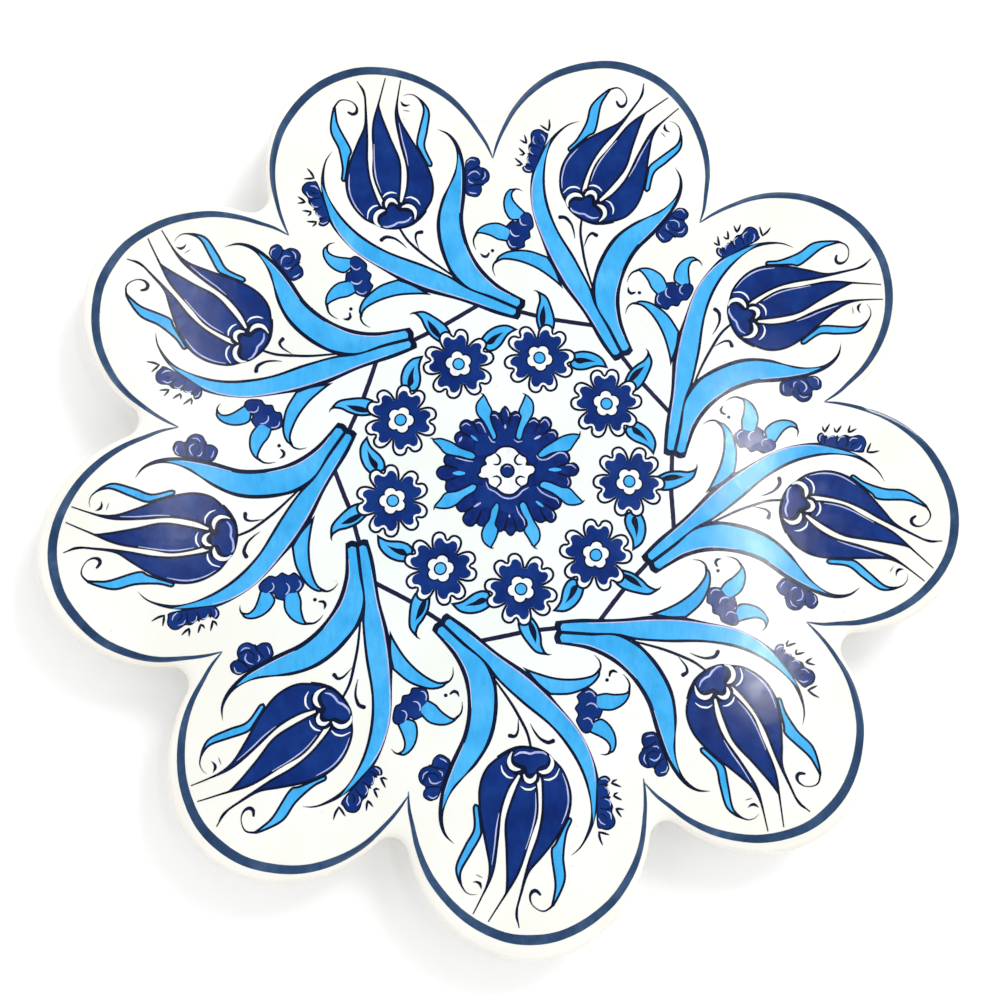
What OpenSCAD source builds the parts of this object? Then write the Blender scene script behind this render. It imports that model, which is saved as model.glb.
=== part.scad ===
// Hand painted ceramic plate with nine scalloped lobes on a turned foot ring.
// Origin: centre of the foot plane. +Z points up out of the painted face, one lobe points along -Y.

/* [Plate] */
// Distance from the plate's axis to the centre of each lobe's curve
lobe_centre_r = 88; // [87:0.5:89]
// Reach of a lobe outward from its centre to its tip
lobe_reach = 36; // [35.5:0.5:38]
// Half width of a lobe
lobe_half_w = 31.5; // [31:0.25:32]
// Radius of the round notch between two lobes
notch_r = 4.4; // [3.5:0.1:5]
// Height of the painted face above the table
face_z = 15; // [13:0.5:20]
// Thickness of the thrown body inside the lip
wall_t = 6; // [5:0.5:6.5]
// Thickness of the rounded lip
lip_t = 4.4; // [3.6:0.1:4.8]
// Width of the rounding where the face rolls over the lip
lip_roll = 3; // [2:0.25:3.4]

/* [Foot ring] */
// Outer radius of the foot ring where it joins the body
foot_outer_r = 62; // [52:1:70]
// Width of the foot ring where it joins the body
foot_root_w = 10; // [8:0.5:14]
// Width of the flat that stands on the table
foot_flat_w = 4; // [3:0.5:6]

/* [Painting] */
// Thickness of each painted layer
paint_t = 0.2; // [0.1:0.05:0.4]
// Width of the straight border line around the centre field
border_w = 1; // [0.6:0.1:1.4]
// Radius of the ring that the small flowers sit on
flower_ring_r = 31.7; // [31:0.1:32]
// Radius of a small flower to the tips of its petals
flower_r = 9.4; // [8.5:0.1:9.6]
// Turn of the centre rosette about the plate's axis
rosette_turn = -2.7; // [-10:0.1:10]

/* [Hidden] */
LOBES = 9;
PETALS = 5;
lobe_step = 360 / LOBES;
petal_step = 360 / PETALS;
lip_steps = 5;
lobe_points = 15;
notch_points = 4;
// The flat of the back starts this far in from the outline
back_inset = lip_roll + 9;
foot_chamfer = 0.6;
flower_phase = -2.3;
flower_turn = 12;
back_z = face_z - wall_t;
clay = [0.96, 0.95, 0.90];
glaze = [0.99, 0.99, 0.96];
cobalt = [0.08, 0.18, 0.55];
sky = [0.29, 0.71, 0.97];
navy = [0.05, 0.11, 0.28];
rim_blue = [0.24, 0.33, 0.48];

// ---- Lobed outline -------------------------------------------------------------------------

// Angle, about the plate's axis, of the ray through a notch
notch_a = lobe_step / 2;

// Point on the lobe's ellipse, with the lobe's own axis along +Y; u is 0 at the tip
function lobe_pt(u, grow = 0) =
    [(lobe_half_w + grow) * sin(u), lobe_centre_r + (lobe_reach + grow) * cos(u)];

// How far the notch arc's centre stands from the notch ray when it rolls on the grown ellipse
function off_ray(u) =
    let (p = lobe_pt(u, notch_r)) p[0] * cos(notch_a) - p[1] * sin(notch_a);

// Parameter where the grown ellipse crosses the notch ray, found by halving the interval
function cross_u(lo, hi, n = 24) =
    let (mid = (lo + hi) / 2)
    n == 0 ? mid : off_ray(mid) < 0 ? cross_u(mid, hi, n - 1) : cross_u(lo, mid, n - 1);

end_u = cross_u(30, 110);
notch_c = lobe_pt(end_u, notch_r);
tangent = lobe_pt(end_u);
to_tangent = atan2(tangent[1] - notch_c[1], tangent[0] - notch_c[0]);
to_axis = atan2(-notch_c[1], -notch_c[0]);

function turn(p, a) = [p[0] * cos(a) - p[1] * sin(a), p[0] * sin(a) + p[1] * cos(a)];

// Half of a lobe from its tip to the middle of the notch, as [point, inward normal]
function half_lobe() = [
    for (i = [0 : lobe_points])
        let (u = end_u * i / lobe_points,
             n = [sin(u) / lobe_half_w, cos(u) / lobe_reach])
        [lobe_pt(u), -n / norm(n)],
    for (i = [1 : notch_points])
        let (short_turn = (to_axis + 360 - to_tangent) % 360,
             a = to_tangent + (short_turn > 180 ? short_turn - 360 : short_turn) * i / notch_points)
        [notch_c + notch_r * [cos(a), sin(a)], [cos(a), sin(a)]]
];

// The whole outline, walked clockwise lobe by lobe; a lobe points along -Y
function rim_walk() =
    let (half = half_lobe(), m = len(half))
    [for (k = [0 : LOBES - 1])
        let (a = 180 - k * lobe_step)
        each [
            for (i = [m - 1 : -1 : 1])
                [turn([-half[i][0][0], half[i][0][1]], a), turn([-half[i][1][0], half[i][1][1]], a)],
            for (i = [0 : m - 2]) [turn(half[i][0], a), turn(half[i][1], a)]
        ]];

// Section of the lip as [distance in from the outline, height], from the face round to the back
function lip_section() =
    let (nose = lip_t / 2)
    [[lip_roll, face_z],
     for (i = [1 : lip_steps - 1])
        let (a = 90 * i / lip_steps) [lip_roll * (1 - sin(a)), face_z - nose * (1 - cos(a))],
     for (i = [0 : lip_steps])
        let (a = 90 * i / lip_steps) [lip_roll * (1 - cos(a)), face_z - nose - nose * sin(a)],
     [back_inset, back_z]];

// ---- Curves --------------------------------------------------------------------------------

function blend_pt(a, b, c, d, t) =
    0.5 * (2 * b + (c - a) * t + (2 * a - 5 * b + 4 * c - d) * t * t
        + (3 * b - a - 3 * c + d) * t * t * t);

// Smooth open curve through the points p, without its last point
function open_curve(p, n = 2) =
    let (m = len(p) - 1)
    [for (i = [0 : m - 1], j = [0 : n - 1])
        blend_pt(p[max(i - 1, 0)], p[i], p[i + 1], p[min(i + 2, m)], j / n)];

// Smooth closed curve through the points p
function closed_curve(p, n = 2) =
    let (m = len(p))
    [for (i = [0 : m - 1], j = [0 : n - 1])
        blend_pt(p[(i + m - 1) % m], p[i], p[(i + 1) % m], p[(i + 2) % m], j / n)];

// Closed outline of smooth runs that meet in corners
function outline(runs, n = 2) = [for (run = runs) each open_curve(run, n)];

// Outline of a brush stroke along the points [x, y, width]
function stroke(p, n = 2) =
    let (c = concat(open_curve(p, n), [p[len(p) - 1]]), m = len(c) - 1,
         side = [for (i = [0 : m])
            let (d = c[min(i + 1, m)] - c[max(i - 1, 0)], l = norm([d[0], d[1]]))
            [-d[1], d[0]] / l * c[i][2] / 2])
    concat([for (i = [0 : m]) [c[i][0], c[i][1]] + side[i]],
        [for (i = [m : -1 : 0]) [c[i][0], c[i][1]] - side[i]]);

// ---- Painted shapes of one lobe: x to the right, y outward from the plate's axis -----------

RIM_PATH = [[-29.9, 82.6, 0.6], [-29.9, 86, 0.7], [-29.5, 91, 1], [-28.2, 98, 1.4], [-25.4, 104.4, 1.8],
    [-20.6, 110.8, 2], [-14, 115.7, 2.2], [-7, 118.7, 2.3], [0, 119.5, 2.4], [7, 118.5, 2.3],
    [14, 115.2, 2.2], [20.2, 110, 2], [25, 103.4, 1.8], [27.9, 96.5, 1.4], [29.2, 90, 1],
    [29.8, 86, 0.7], [30, 83.2, 0.6]];

PETAL_LEFT = [
    [[-7.4, 76.3], [-9.2, 79.8], [-10.4, 85], [-9.5, 90.5], [-6.8, 95.2], [-2.4, 100], [0.9, 104],
        [2.6, 108.3]],
    [[2.6, 108.3], [1.3, 102.8], [-1.5, 97], [-3.9, 91], [-4.6, 85], [-4.3, 80.4]],
    [[-4.3, 80.4], [-5.4, 80.1], [-6.8, 79.2], [-7.6, 77.8], [-7.4, 76.3]]];
PETAL_MIDDLE = [
    [[-2.1, 82.2], [-1.6, 89], [0.3, 95], [2.6, 101], [6.4, 107.2]],
    [[6.4, 107.2], [5.4, 101], [5.6, 93.5], [4.2, 87.5], [1, 80.9]],
    [[1, 80.9], [0.2, 82.2], [-1, 82.6], [-2.1, 82.2]]];
PETAL_RIGHT = [
    [[3.1, 79.3], [5.7, 83.5], [7.7, 89.5], [8.9, 97.5], [10.5, 104.3]],
    [[10.5, 104.3], [10, 100.5], [10.7, 94.5], [11.6, 88], [11.4, 82], [9.4, 77.6], [6.6, 75.2],
        [4.6, 74.3]],
    [[4.6, 74.3], [4.9, 75.8], [4.7, 77.4], [3.1, 79.3]]];
CALYX = [[-5.6, 75.6], [-4.7, 76.7], [-2.8, 77.3], [-1.9, 78.4], [-1.1, 78.7], [-0.6, 77.7], [0.2, 76.3],
    [1.6, 76.1], [2.4, 75.2], [1.8, 73.8], [-0.5, 73.5], [-3.6, 74.3]];
SEPAL_LEFT = [
    [[-10.1, 91.1], [-8.2, 96], [-7.8, 100.5], [-7.8, 105.3], [-5.4, 110.2]],
    [[-5.4, 110.2], [-6.3, 105], [-5.7, 99.5], [-7.9, 94.9], [-10.1, 91.1]]];
SEPAL_RIGHT = [
    [[13, 86.8], [13.2, 91.5], [15.4, 96], [18.1, 102.6]],
    [[18.1, 102.6], [15.9, 98.3], [13, 94.4], [12.6, 90], [13, 86.8]]];
STEM = [[-1.5, 72.3, 0.7], [-0.8, 69, 0.8], [0.8, 65.2, 0.8], [2.6, 61.2, 0.7], [4.2, 58.4, 0.5]];
TICK_LEFT = [[-7.4, 71.5, 1.1], [-5.6, 71.7, 0.9], [-3.6, 70.2, 0.6], [-2.2, 67, 0.3]];
TICK_RIGHT = [[3.4, 69.6, 1.1], [2, 69.5, 0.9], [1.4, 68, 0.6], [1.2, 65.7, 0.3]];

LEAF_LEFT = [
    [[18.3, 38], [13.8, 41.6], [6.5, 48.2], [-3, 56.2], [-9, 63.9], [-13.8, 72], [-16.6, 80],
        [-16.4, 91.3]],
    [[-16.4, 91.3], [-15.2, 82], [-11.2, 72.7], [-4.6, 64.6], [3, 57], [8.5, 50.2], [15, 43],
        [18.3, 38]]];
LEAF_RIGHT = [
    [[20.7, 40.6], [14.4, 46], [9.3, 50.8], [7.3, 56.5], [7.6, 64], [10.4, 72.5], [16.8, 79.9],
        [21.6, 86]],
    [[21.6, 86], [19.9, 80], [16.2, 72.6], [13.2, 65], [13.4, 55.5], [16, 48], [20.7, 40.6]]];
SIDE_LEAF = [
    [[-2, 53.2], [-6.6, 56.5], [-9, 59], [-15, 58.6], [-19.8, 55.3]],
    [[-19.8, 55.3], [-13, 56.5], [-6, 55.1], [-2, 53.2]]];
BUD = [[-16.6, 69.2], [-15.4, 69.2], [-13.8, 66.4], [-14.5, 64.4], [-14.8, 61], [-16, 59.9],
    [-17.4, 59.4],
    [-18.8, 61], [-18.4, 62.4], [-19.8, 63.9], [-19.2, 65.7], [-17.8, 66.6]];
BUD_PETAL_TOP = [
    [[-18.5, 67.4], [-20.4, 67.3], [-22.5, 70.3], [-22.4, 74]],
    [[-22.4, 74], [-20.9, 72], [-18.2, 70.2], [-18.5, 67.4]]];
BUD_PETAL_SIDE = [
    [[-19.6, 60.6], [-19.6, 62.3], [-20.8, 63.6], [-24.6, 63.2], [-27, 60.4]],
    [[-27, 60.4], [-23.5, 60.4], [-19.6, 60.6]]];
BUD_DOT = [-22.1, 56.4];
bud_dot_r = 0.45;
BUD_COMMA = [[-24.7, 54.6, 0.4], [-23.6, 54.3, 0.9], [-22.9, 55.3, 0.8]];
BLOSSOM_LEFT = [[-18.2, 92.8], [-19.8, 93.4], [-21.2, 92], [-20.5, 89.8], [-20.7, 88], [-20, 86.2],
    [-20.1, 84.6],
    [-19, 82.4], [-18.7, 86], [-18.1, 90]];
BLOSSOM_RIGHT = [[23, 83.5], [24.5, 83.8], [25.6, 82.5], [25.2, 81], [26.4, 78.8], [25.4, 76.8],
    [23.4, 76],
    [22.2, 74.2], [20.4, 74.3], [20.8, 77], [22, 80.4]];
SPRIG = [[0, 0, 0.7], [-0.9, 0.8, 0.5], [-1.9, 1.5, 0.3]];
SPRIGS = [[-21.8, 82.6, 0], [-22.4, 86, 0], [-22.6, 89.2, -25], [-18.1, 94.8, -45]];

BORDER_LEFT = [[-8.6, 42.5], [-6.4, 42.6]];
BORDER_RIGHT = [[0.6, 43.3], [9.4, 44.8]];

FLOWER_LEAF_TOP = [
    [[-3.7, 40.4], [-5.2, 42.6], [-5.2, 46], [-6.6, 48.9]],
    [[-6.6, 48.9], [-2.8, 46.6], [-0.7, 42.6], [-0.5, 41.2]],
    [[-0.5, 41.2], [-1.8, 41.6], [-3.7, 40.4]]];
FLOWER_LEAF_SIDE = [
    [[7.6, 35.6], [11.4, 37], [14.6, 36.3], [16.3, 34.7]],
    [[16.3, 34.7], [12.5, 33.1], [8.4, 31.8]],
    [[8.4, 31.8], [7.8, 33.6], [7.6, 35.6]]];

// Half of a small flower's petal as [angle from its axis, share of the flower's radius]
PETAL_OUTER = [[0, 0.81], [5, 0.93], [11, 1], [22, 0.97], [29, 0.86], [34, 0.7]];
PETAL_FILL = [[0, 0.69], [5, 0.77], [12, 0.82], [20, 0.8], [27, 0.7], [33, 0.56]];
EYE_HALF = [[0, 0.42], [18, 0.4], [36, 0.33]];
outline_share = 0.95;
eye_dot_r = 1.35;

// ---- Painted shapes of the centre rosette ---------------------------------------------------

WREATH = [[-4.6, 15.8], [-2.9, 15.5], [-1.1, 17.4], [0.6, 15.6], [2.2, 16],
    [6.5, 14.2], [8.1, 13.5], [9.8, 14.6], [11.2, 12.8], [11.2, 11.4], [13, 10], [12.9, 8.9],
    [16, 4.4], [15.9, 2.2], [18.2, 1.5], [18.2, -0.8], [16.3, -1.9], [16, -4.3],
    [13.6, -8.6], [11.7, -10.8], [12, -13], [10.6, -14], [9.4, -13.4], [7.4, -13.8],
    [3.4, -16.3], [1.8, -16.1], [0.2, -17.4], [-1.5, -16.1], [-3.5, -16.2],
    [-7.4, -14.8], [-9, -14.3], [-11, -14.8], [-12.3, -13], [-12.1, -11.2], [-13.9, -9.9],
    [-16.8, -5.4], [-17.1, -3], [-19.2, -2], [-19, 0.4], [-17.4, 1.8], [-16.8, 4.2],
    [-14.5, 8.4], [-13.2, 10.4], [-13, 12.6], [-11.2, 13.8], [-9.5, 13.3], [-7.9, 13.9]];
MEDALLION = [[6.9, 0.2], [5.1, 1.6], [4.6, 3.6], [2.5, 4.8], [0.6, 6.3], [-1.9, 6.1], [-3.9, 4.7],
    [-6.2, 3.4],
    [-7, 1.2], [-8.4, -1], [-6.9, -2.4], [-6, -3.6], [-3.8, -5], [-1.8, -6.6], [0.6, -6.7], [2.8, -5],
    [5, -3.6], [5.6, -1.8]];
// Rosette leaves: foot, left bulge, tip and right bulge, clockwise from the top left
ROSETTE_LEAVES = [
    [[[-4.1, 8.2], [-5.8, 11.6], [-8.2, 15.2], [-8, 18.4], [-6.8, 20]], [[-6.8, 20], [-5, 16.4],
        [-5.3, 13.6], [-3.9, 10], [-4.1, 8.2]]],
    [[[2.3, 8.6], [3, 12], [3.2, 15.4], [3.6, 18.2], [4.6, 20.3]], [[4.6, 20.3], [6.2, 18],
        [5.6, 14.6], [4, 11], [2.3, 8.6]]],
    [[[8, 4.3], [11, 6.7], [14.4, 9.1], [18.4, 9.1]], [[18.4, 9.1], [16, 6.4], [12.4, 5.4], [8, 4.3]]],
    [[[8.3, -3.7], [12, -4.7], [16, -5.2], [18.9, -8.4]], [[18.9, -8.4], [15.2, -8.7], [11.6, -6.4],
        [8.3, -3.7]]],
    [[[3.2, -8.8], [5, -11.6], [7.3, -15.6], [7.2, -18.6], [5.8, -20.1]], [[5.8, -20.1], [4.3, -17],
        [4.4, -13.8], [3.2, -8.8]]],
    [[[-3.4, -9], [-4, -13], [-3.9, -16.2], [-5.3, -20.3]], [[-5.3, -20.3], [-7.2, -17.4],
        [-6.6, -14.6], [-4.8, -11.4], [-3.4, -9]]],
    [[[-9, -4.4], [-12, -7.2], [-15.4, -9.8], [-19.4, -9.7]], [[-19.4, -9.7], [-16.8, -7], [-13, -6],
        [-9, -4.4]]],
    [[[-9.4, 3.9], [-13, 3.9], [-16.8, 5], [-19.9, 7.7]], [[-19.9, 7.7], [-16.2, 8.2], [-12.6, 6.2],
        [-9.4, 3.9]]]];
ROSETTE_C = [-0.6, -0.1];
SCROLLS = [
    [[-4, 4, 0.4], [-2.8, 3.5, 0.5], [-2.5, 2.5, 0.5], [-3.2, 1.7, 0.5], [-3.9, 1.7, 0.3]],
    [[2.7, 4, 0.4], [1.7, 3.5, 0.5], [1.5, 2.5, 0.5], [2.2, 1.8, 0.5], [2.9, 1.8, 0.3]],
    [[-5.4, -3, 0.4], [-4.2, -4.3, 0.5], [-2.7, -3.7, 0.5], [-2.6, -2.4, 0.5], [-3.6, -1.7, 0.3]],
    [[4.8, -2.8, 0.4], [3.6, -4, 0.5], [2.2, -3.7, 0.5], [1.8, -2.5, 0.5], [2.8, -1.7, 0.3]]];
rosette_dot_r = 1.9;
// The room that the dark petals leave round a rosette leaf
leaf_gap_share = 1.12;
leaf_gap_in = 0.3;

// ---- Builders --------------------------------------------------------------------------------

module around_lobes() {
    for (k = [0 : LOBES - 1]) rotate(180 - k * lobe_step) children();
}

module paint() {
    translate([0, 0, face_z]) linear_extrude(paint_t) children();
}

module rosette_paint() {
    paint() rotate(rosette_turn) children();
}

// Petal profile repeated round a small flower, both halves of each petal
function flower_ring(half, r) =
    let (m = len(half))
    closed_curve([for (k = [0 : PETALS - 1])
        each [
            for (i = [m - 1 : -1 : 1])
                let (a = 90 - flower_turn - k * petal_step + half[i][0]) half[i][1] * r * [cos(a),
                    sin(a)],
            for (i = [0 : m - 1])
                let (a = 90 - flower_turn - k * petal_step - half[i][0]) half[i][1] * r * [cos(a), sin(a)]
        ]], 1);

module at_flowers() {
    around_lobes() rotate(-flower_phase) translate([0, flower_ring_r]) rotate(flower_phase) children();
}

// ---- Sub-parts -------------------------------------------------------------------------------

module plate_body() {
    walk = rim_walk();
    section = lip_section();
    n = len(walk);
    m = len(section);
    points = [for (s = section, w = walk) [each w[0] + w[1] * s[0], s[1]]];
    walls = [for (j = [0 : m - 2], i = [0 : n - 1])
        let (i2 = (i + 1) % n) [j * n + i, j * n + i2, (j + 1) * n + i2, (j + 1) * n + i]];
    face = [for (i = [n - 1 : -1 : 0]) i];
    back = [for (i = [0 : n - 1]) (m - 1) * n + i];
    color(glaze) polyhedron(points, concat(walls, [face, back]), convexity = 6);
}

module foot_ring() {
    slope = (foot_root_w - foot_flat_w) / 2;
    inner_r = foot_outer_r - foot_root_w;
    flat_in = inner_r + slope;
    flat_out = foot_outer_r - slope;
    color(clay) rotate_extrude($fn = 120)
        polygon([[inner_r, back_z], [flat_in, foot_chamfer], [flat_in + foot_chamfer, 0],
            [flat_out - foot_chamfer, 0], [flat_out, foot_chamfer], [foot_outer_r, back_z]]);
}

module rim_line() {
    color(rim_blue) paint() around_lobes() polygon(stroke(RIM_PATH));
}

module border_line() {
    color(navy) paint() around_lobes() {
        polygon(stroke([for (p = BORDER_LEFT) [each p, border_w]], 1));
        polygon(stroke([for (p = BORDER_RIGHT) [each p, border_w]], 1));
    }
}

module tulip_petals() {
    color(cobalt) paint() around_lobes() {
        polygon(outline(PETAL_LEFT));
        polygon(outline(PETAL_MIDDLE));
        polygon(outline(PETAL_RIGHT));
    }
}

module tulip_calyx() {
    color(cobalt) paint() around_lobes() polygon(closed_curve(CALYX));
}

module tulip_sepals() {
    color(sky) paint() around_lobes() {
        polygon(outline(SEPAL_LEFT));
        polygon(outline(SEPAL_RIGHT));
    }
}

module tulip_stems() {
    color(navy) paint() around_lobes() {
        polygon(stroke(STEM));
        polygon(stroke(TICK_LEFT));
        polygon(stroke(TICK_RIGHT));
    }
}

module left_leaves() {
    color(sky) paint() around_lobes() polygon(outline(LEAF_LEFT));
}

module right_leaves() {
    color(sky) paint() around_lobes() polygon(outline(LEAF_RIGHT));
}

module side_leaves() {
    color(sky) paint() around_lobes() polygon(outline(SIDE_LEAF));
}

module side_buds() {
    color(cobalt) paint() around_lobes() polygon(closed_curve(BUD));
}

module bud_petals() {
    color(sky) paint() around_lobes() {
        polygon(outline(BUD_PETAL_TOP));
        polygon(outline(BUD_PETAL_SIDE));
    }
}

module bud_dots() {
    color(navy) paint() around_lobes() {
        translate(BUD_DOT) circle(r = bud_dot_r, $fn = 16);
        polygon(stroke(BUD_COMMA));
    }
}

module left_blossoms() {
    color(cobalt) paint() around_lobes() polygon(closed_curve(BLOSSOM_LEFT));
}

module right_blossoms() {
    color(cobalt) paint() around_lobes() polygon(closed_curve(BLOSSOM_RIGHT));
}

module blossom_sprigs() {
    color(navy) paint() around_lobes()
        for (s = SPRIGS) translate([s[0], s[1]]) rotate(s[2]) polygon(stroke(SPRIG));
}

module flower_petals() {
    color(cobalt) paint() at_flowers() difference() {
        polygon(flower_ring(PETAL_FILL, flower_r));
        polygon(flower_ring(EYE_HALF, flower_r));
    }
}

module flower_outlines() {
    color(navy) paint() at_flowers() difference() {
        polygon(flower_ring(PETAL_OUTER, flower_r));
        polygon(flower_ring(PETAL_OUTER, flower_r * outline_share));
    }
}

module flower_eyes() {
    color(sky) paint() at_flowers() circle(r = eye_dot_r, $fn = 32);
}

module flower_leaves() {
    color(sky) paint() around_lobes() {
        polygon(outline(FLOWER_LEAF_TOP));
        polygon(outline(FLOWER_LEAF_SIDE));
    }
}

module rosette_petals() {
    color(cobalt) rosette_paint() difference() {
        polygon(closed_curve(WREATH));
        polygon(closed_curve(MEDALLION));
        for (leaf = ROSETTE_LEAVES) {
            foot = leaf[0][0];
            translate(foot) scale(leaf_gap_share) translate(-foot - foot / norm(foot) * leaf_gap_in)
                polygon(outline(leaf));
        }
    }
}

module rosette_leaves() {
    color(sky) rosette_paint() for (leaf = ROSETTE_LEAVES) polygon(outline(leaf));
}

module rosette_scrolls() {
    color(navy) rosette_paint() for (s = SCROLLS) polygon(stroke(s));
}

module rosette_dot() {
    color(cobalt) rosette_paint() translate(ROSETTE_C) circle(r = rosette_dot_r, $fn = 48);
}

plate_body();
foot_ring();
rim_line();
border_line();
tulip_petals();
tulip_calyx();
tulip_sepals();
tulip_stems();
left_leaves();
right_leaves();
side_leaves();
side_buds();
bud_petals();
bud_dots();
left_blossoms();
right_blossoms();
blossom_sprigs();
flower_petals();
flower_outlines();
flower_eyes();
flower_leaves();
rosette_petals();
rosette_leaves();
rosette_scrolls();
rosette_dot();
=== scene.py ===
"""A hand painted ceramic plate with nine lobes: body, foot ring, and painting in thin films of glaze."""
import math

import bpy
from mathutils import Matrix, Vector, kdtree, noise
from mathutils.geometry import delaunay_2d_cdt


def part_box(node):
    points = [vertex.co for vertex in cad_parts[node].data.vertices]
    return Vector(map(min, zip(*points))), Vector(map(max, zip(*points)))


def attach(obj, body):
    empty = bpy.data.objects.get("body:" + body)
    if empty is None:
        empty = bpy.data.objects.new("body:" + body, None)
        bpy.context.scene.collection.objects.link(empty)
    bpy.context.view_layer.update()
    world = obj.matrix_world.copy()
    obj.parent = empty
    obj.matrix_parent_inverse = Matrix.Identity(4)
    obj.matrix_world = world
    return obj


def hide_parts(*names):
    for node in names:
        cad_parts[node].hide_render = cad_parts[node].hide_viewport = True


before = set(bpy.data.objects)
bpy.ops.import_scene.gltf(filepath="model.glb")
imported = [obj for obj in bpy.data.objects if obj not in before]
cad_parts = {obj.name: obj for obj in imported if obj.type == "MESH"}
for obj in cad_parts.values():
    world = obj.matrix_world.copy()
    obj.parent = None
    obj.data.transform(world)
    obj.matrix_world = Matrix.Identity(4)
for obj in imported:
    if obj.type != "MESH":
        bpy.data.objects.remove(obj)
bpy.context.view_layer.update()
MM = 0.001               # a millimetre in metres

# ---- Sizes in millimetres: the plate's from the CAD boxes, the finer ones given below ----------
body_lo, body_hi = (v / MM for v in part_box("plate_body"))
_, foot_hi = (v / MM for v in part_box("foot_ring"))
LOBES = 9
LOBE_STEP = 360 / LOBES
TIP_R = -body_lo.y
FACE_Z = body_hi.z
BACK_Z = body_lo.z
LOBE_CENTRE_R = TIP_R * 88 / 124      # each lobe is half an ellipse about this radius
LOBE_REACH = TIP_R - LOBE_CENTRE_R
LOBE_HALF_W = TIP_R * 31.5 / 124
NOTCH_R = TIP_R * 4.4 / 124           # rounds the notch between two lobes
LIP_ROLL = 2.6           # the face rolls over the lip within this distance of the edge
LIP_T = 4.4              # thickness of the rounded lip
FACE_DROP = 0.1          # the face's mean level under the CAD plane, so its waves stay inside
WAVE = 0.045             # height of the slow waves left by the hand
LINE_H = 0.04            # heights of the three coats of paint over the face
FILL_H = 0.08
LIGHT_H = 0.115
SINK = 0.03              # how far every film reaches into the glaze
STEP = 0.5               # spacing of points along a drawn curve
GRAIN = 2.6              # spacing of points inside a painted area
HAND = 0.12              # how far the brush strays from the pattern
ROSETTE_TURN = -2.7      # degrees that the rosette is turned against the lobes

# ---- Camera: a little below the plate's middle, looking down on the face -----------------------
# its place is in millimetres above the face
CAMERA = (-21.68, -57.01, 312.2)
CAMERA_RIGHT = (0.9973, -0.0520, 0.0516)
CAMERA_UP = (0.0432, 0.9865, 0.1581)
LENS = 43.5


def add_camera():
    right, up = Vector(CAMERA_RIGHT).normalized(), Vector(CAMERA_UP).normalized()
    back = right.cross(up).normalized()
    up = back.cross(right)
    data = bpy.data.cameras.new("camera")
    data.lens = LENS
    data.sensor_width = 36               # millimetres
    data.clip_start = 0.01
    camera = bpy.data.objects.new("camera", data)
    place = Matrix((right, up, back)).transposed().to_4x4()
    place.translation = Vector((CAMERA[0], CAMERA[1], CAMERA[2] + FACE_Z)) * MM
    camera.matrix_world = place
    bpy.context.scene.collection.objects.link(camera)
    bpy.context.scene.camera = camera


add_camera()


# ---- The lobed outline -------------------------------------------------------------------------
def turned(x, y, degrees):
    c, s = math.cos(math.radians(degrees)), math.sin(math.radians(degrees))
    return x * c - y * s, x * s + y * c


def lobe_point(u, grow=0.0):
    return (LOBE_HALF_W + grow) * math.sin(u), LOBE_CENTRE_R + (LOBE_REACH + grow) * math.cos(u)


def notch_parameter():
    """Where a circle of the notch's radius, rolling on the lobe, meets the ray between two lobes."""
    ray = math.radians(LOBE_STEP / 2)
    low, high = math.radians(30), math.radians(110)
    for _ in range(40):
        mid = (low + high) / 2
        x, y = lobe_point(mid, NOTCH_R)
        if x * math.cos(ray) - y * math.sin(ray) < 0:
            low = mid
        else:
            high = mid
    return low


def half_lobe(lobe_steps=40, notch_steps=10):
    """[(x, y, inward x, inward y)] from the tip to the middle of the notch, with the lobe along +Y."""
    end = notch_parameter()
    points = []
    for i in range(lobe_steps + 1):
        u = end * i / lobe_steps
        n = Vector((math.sin(u) / LOBE_HALF_W, math.cos(u) / LOBE_REACH)).normalized()
        points.append((*lobe_point(u), -n.x, -n.y))
    cx, cy = lobe_point(end, NOTCH_R)
    tx, ty = lobe_point(end)
    start = math.atan2(ty - cy, tx - cx)
    sweep = (math.atan2(-cy, -cx) - start + math.pi) % (2 * math.pi) - math.pi
    for i in range(1, notch_steps + 1):
        a = start + sweep * i / notch_steps
        points.append((cx + NOTCH_R * math.cos(a), cy + NOTCH_R * math.sin(a), math.cos(a), math.sin(a)))
    return points


def whole_outline():
    half = half_lobe()
    lobe = [(-x, y, -nx, ny) for x, y, nx, ny in reversed(half[1:])] + half[:-1]
    walk = []
    for k in range(LOBES):
        a = 180 - k * LOBE_STEP
        walk += [(*turned(x, y, a), *turned(nx, ny, a)) for x, y, nx, ny in lobe]
    return walk


def tree_of(points):
    tree = kdtree.KDTree(len(points))
    for i, p in enumerate(points):
        tree.insert((p[0], p[1], 0), i)
    tree.balance()
    return tree


OUTLINE = whole_outline()
edge_tree = tree_of(OUTLINE)


def roll(inset):
    """How far the face has rolled down at this distance in from the edge."""
    t = max(0.0, 1 - max(inset, 0) / LIP_ROLL)
    return LIP_T / 2 * (1 - math.sqrt(max(0.0, 1 - t * t)))


def edge_inset(x, y):
    """Distance in from the outline."""
    _, nearest, best = edge_tree.find((x, y, 0))
    for i in (nearest - 1, nearest):
        (x0, y0, _, _), (x1, y1, _, _) = OUTLINE[i], OUTLINE[(i + 1) % len(OUTLINE)]
        dx, dy = x1 - x0, y1 - y0
        t = min(1.0, max(0.0, ((x - x0) * dx + (y - y0) * dy) / (dx * dx + dy * dy)))
        best = min(best, math.hypot(x - x0 - t * dx, y - y0 - t * dy))
    return best


def waves(x, y):
    return noise.noise(Vector((x / 34, y / 34, 1.7))) + 0.35 * noise.noise(Vector((x / 12, y / 12, 5.1)))


def face_z(x, y):
    return FACE_Z - FACE_DROP + WAVE * waves(x, y) - roll(edge_inset(x, y))


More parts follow.
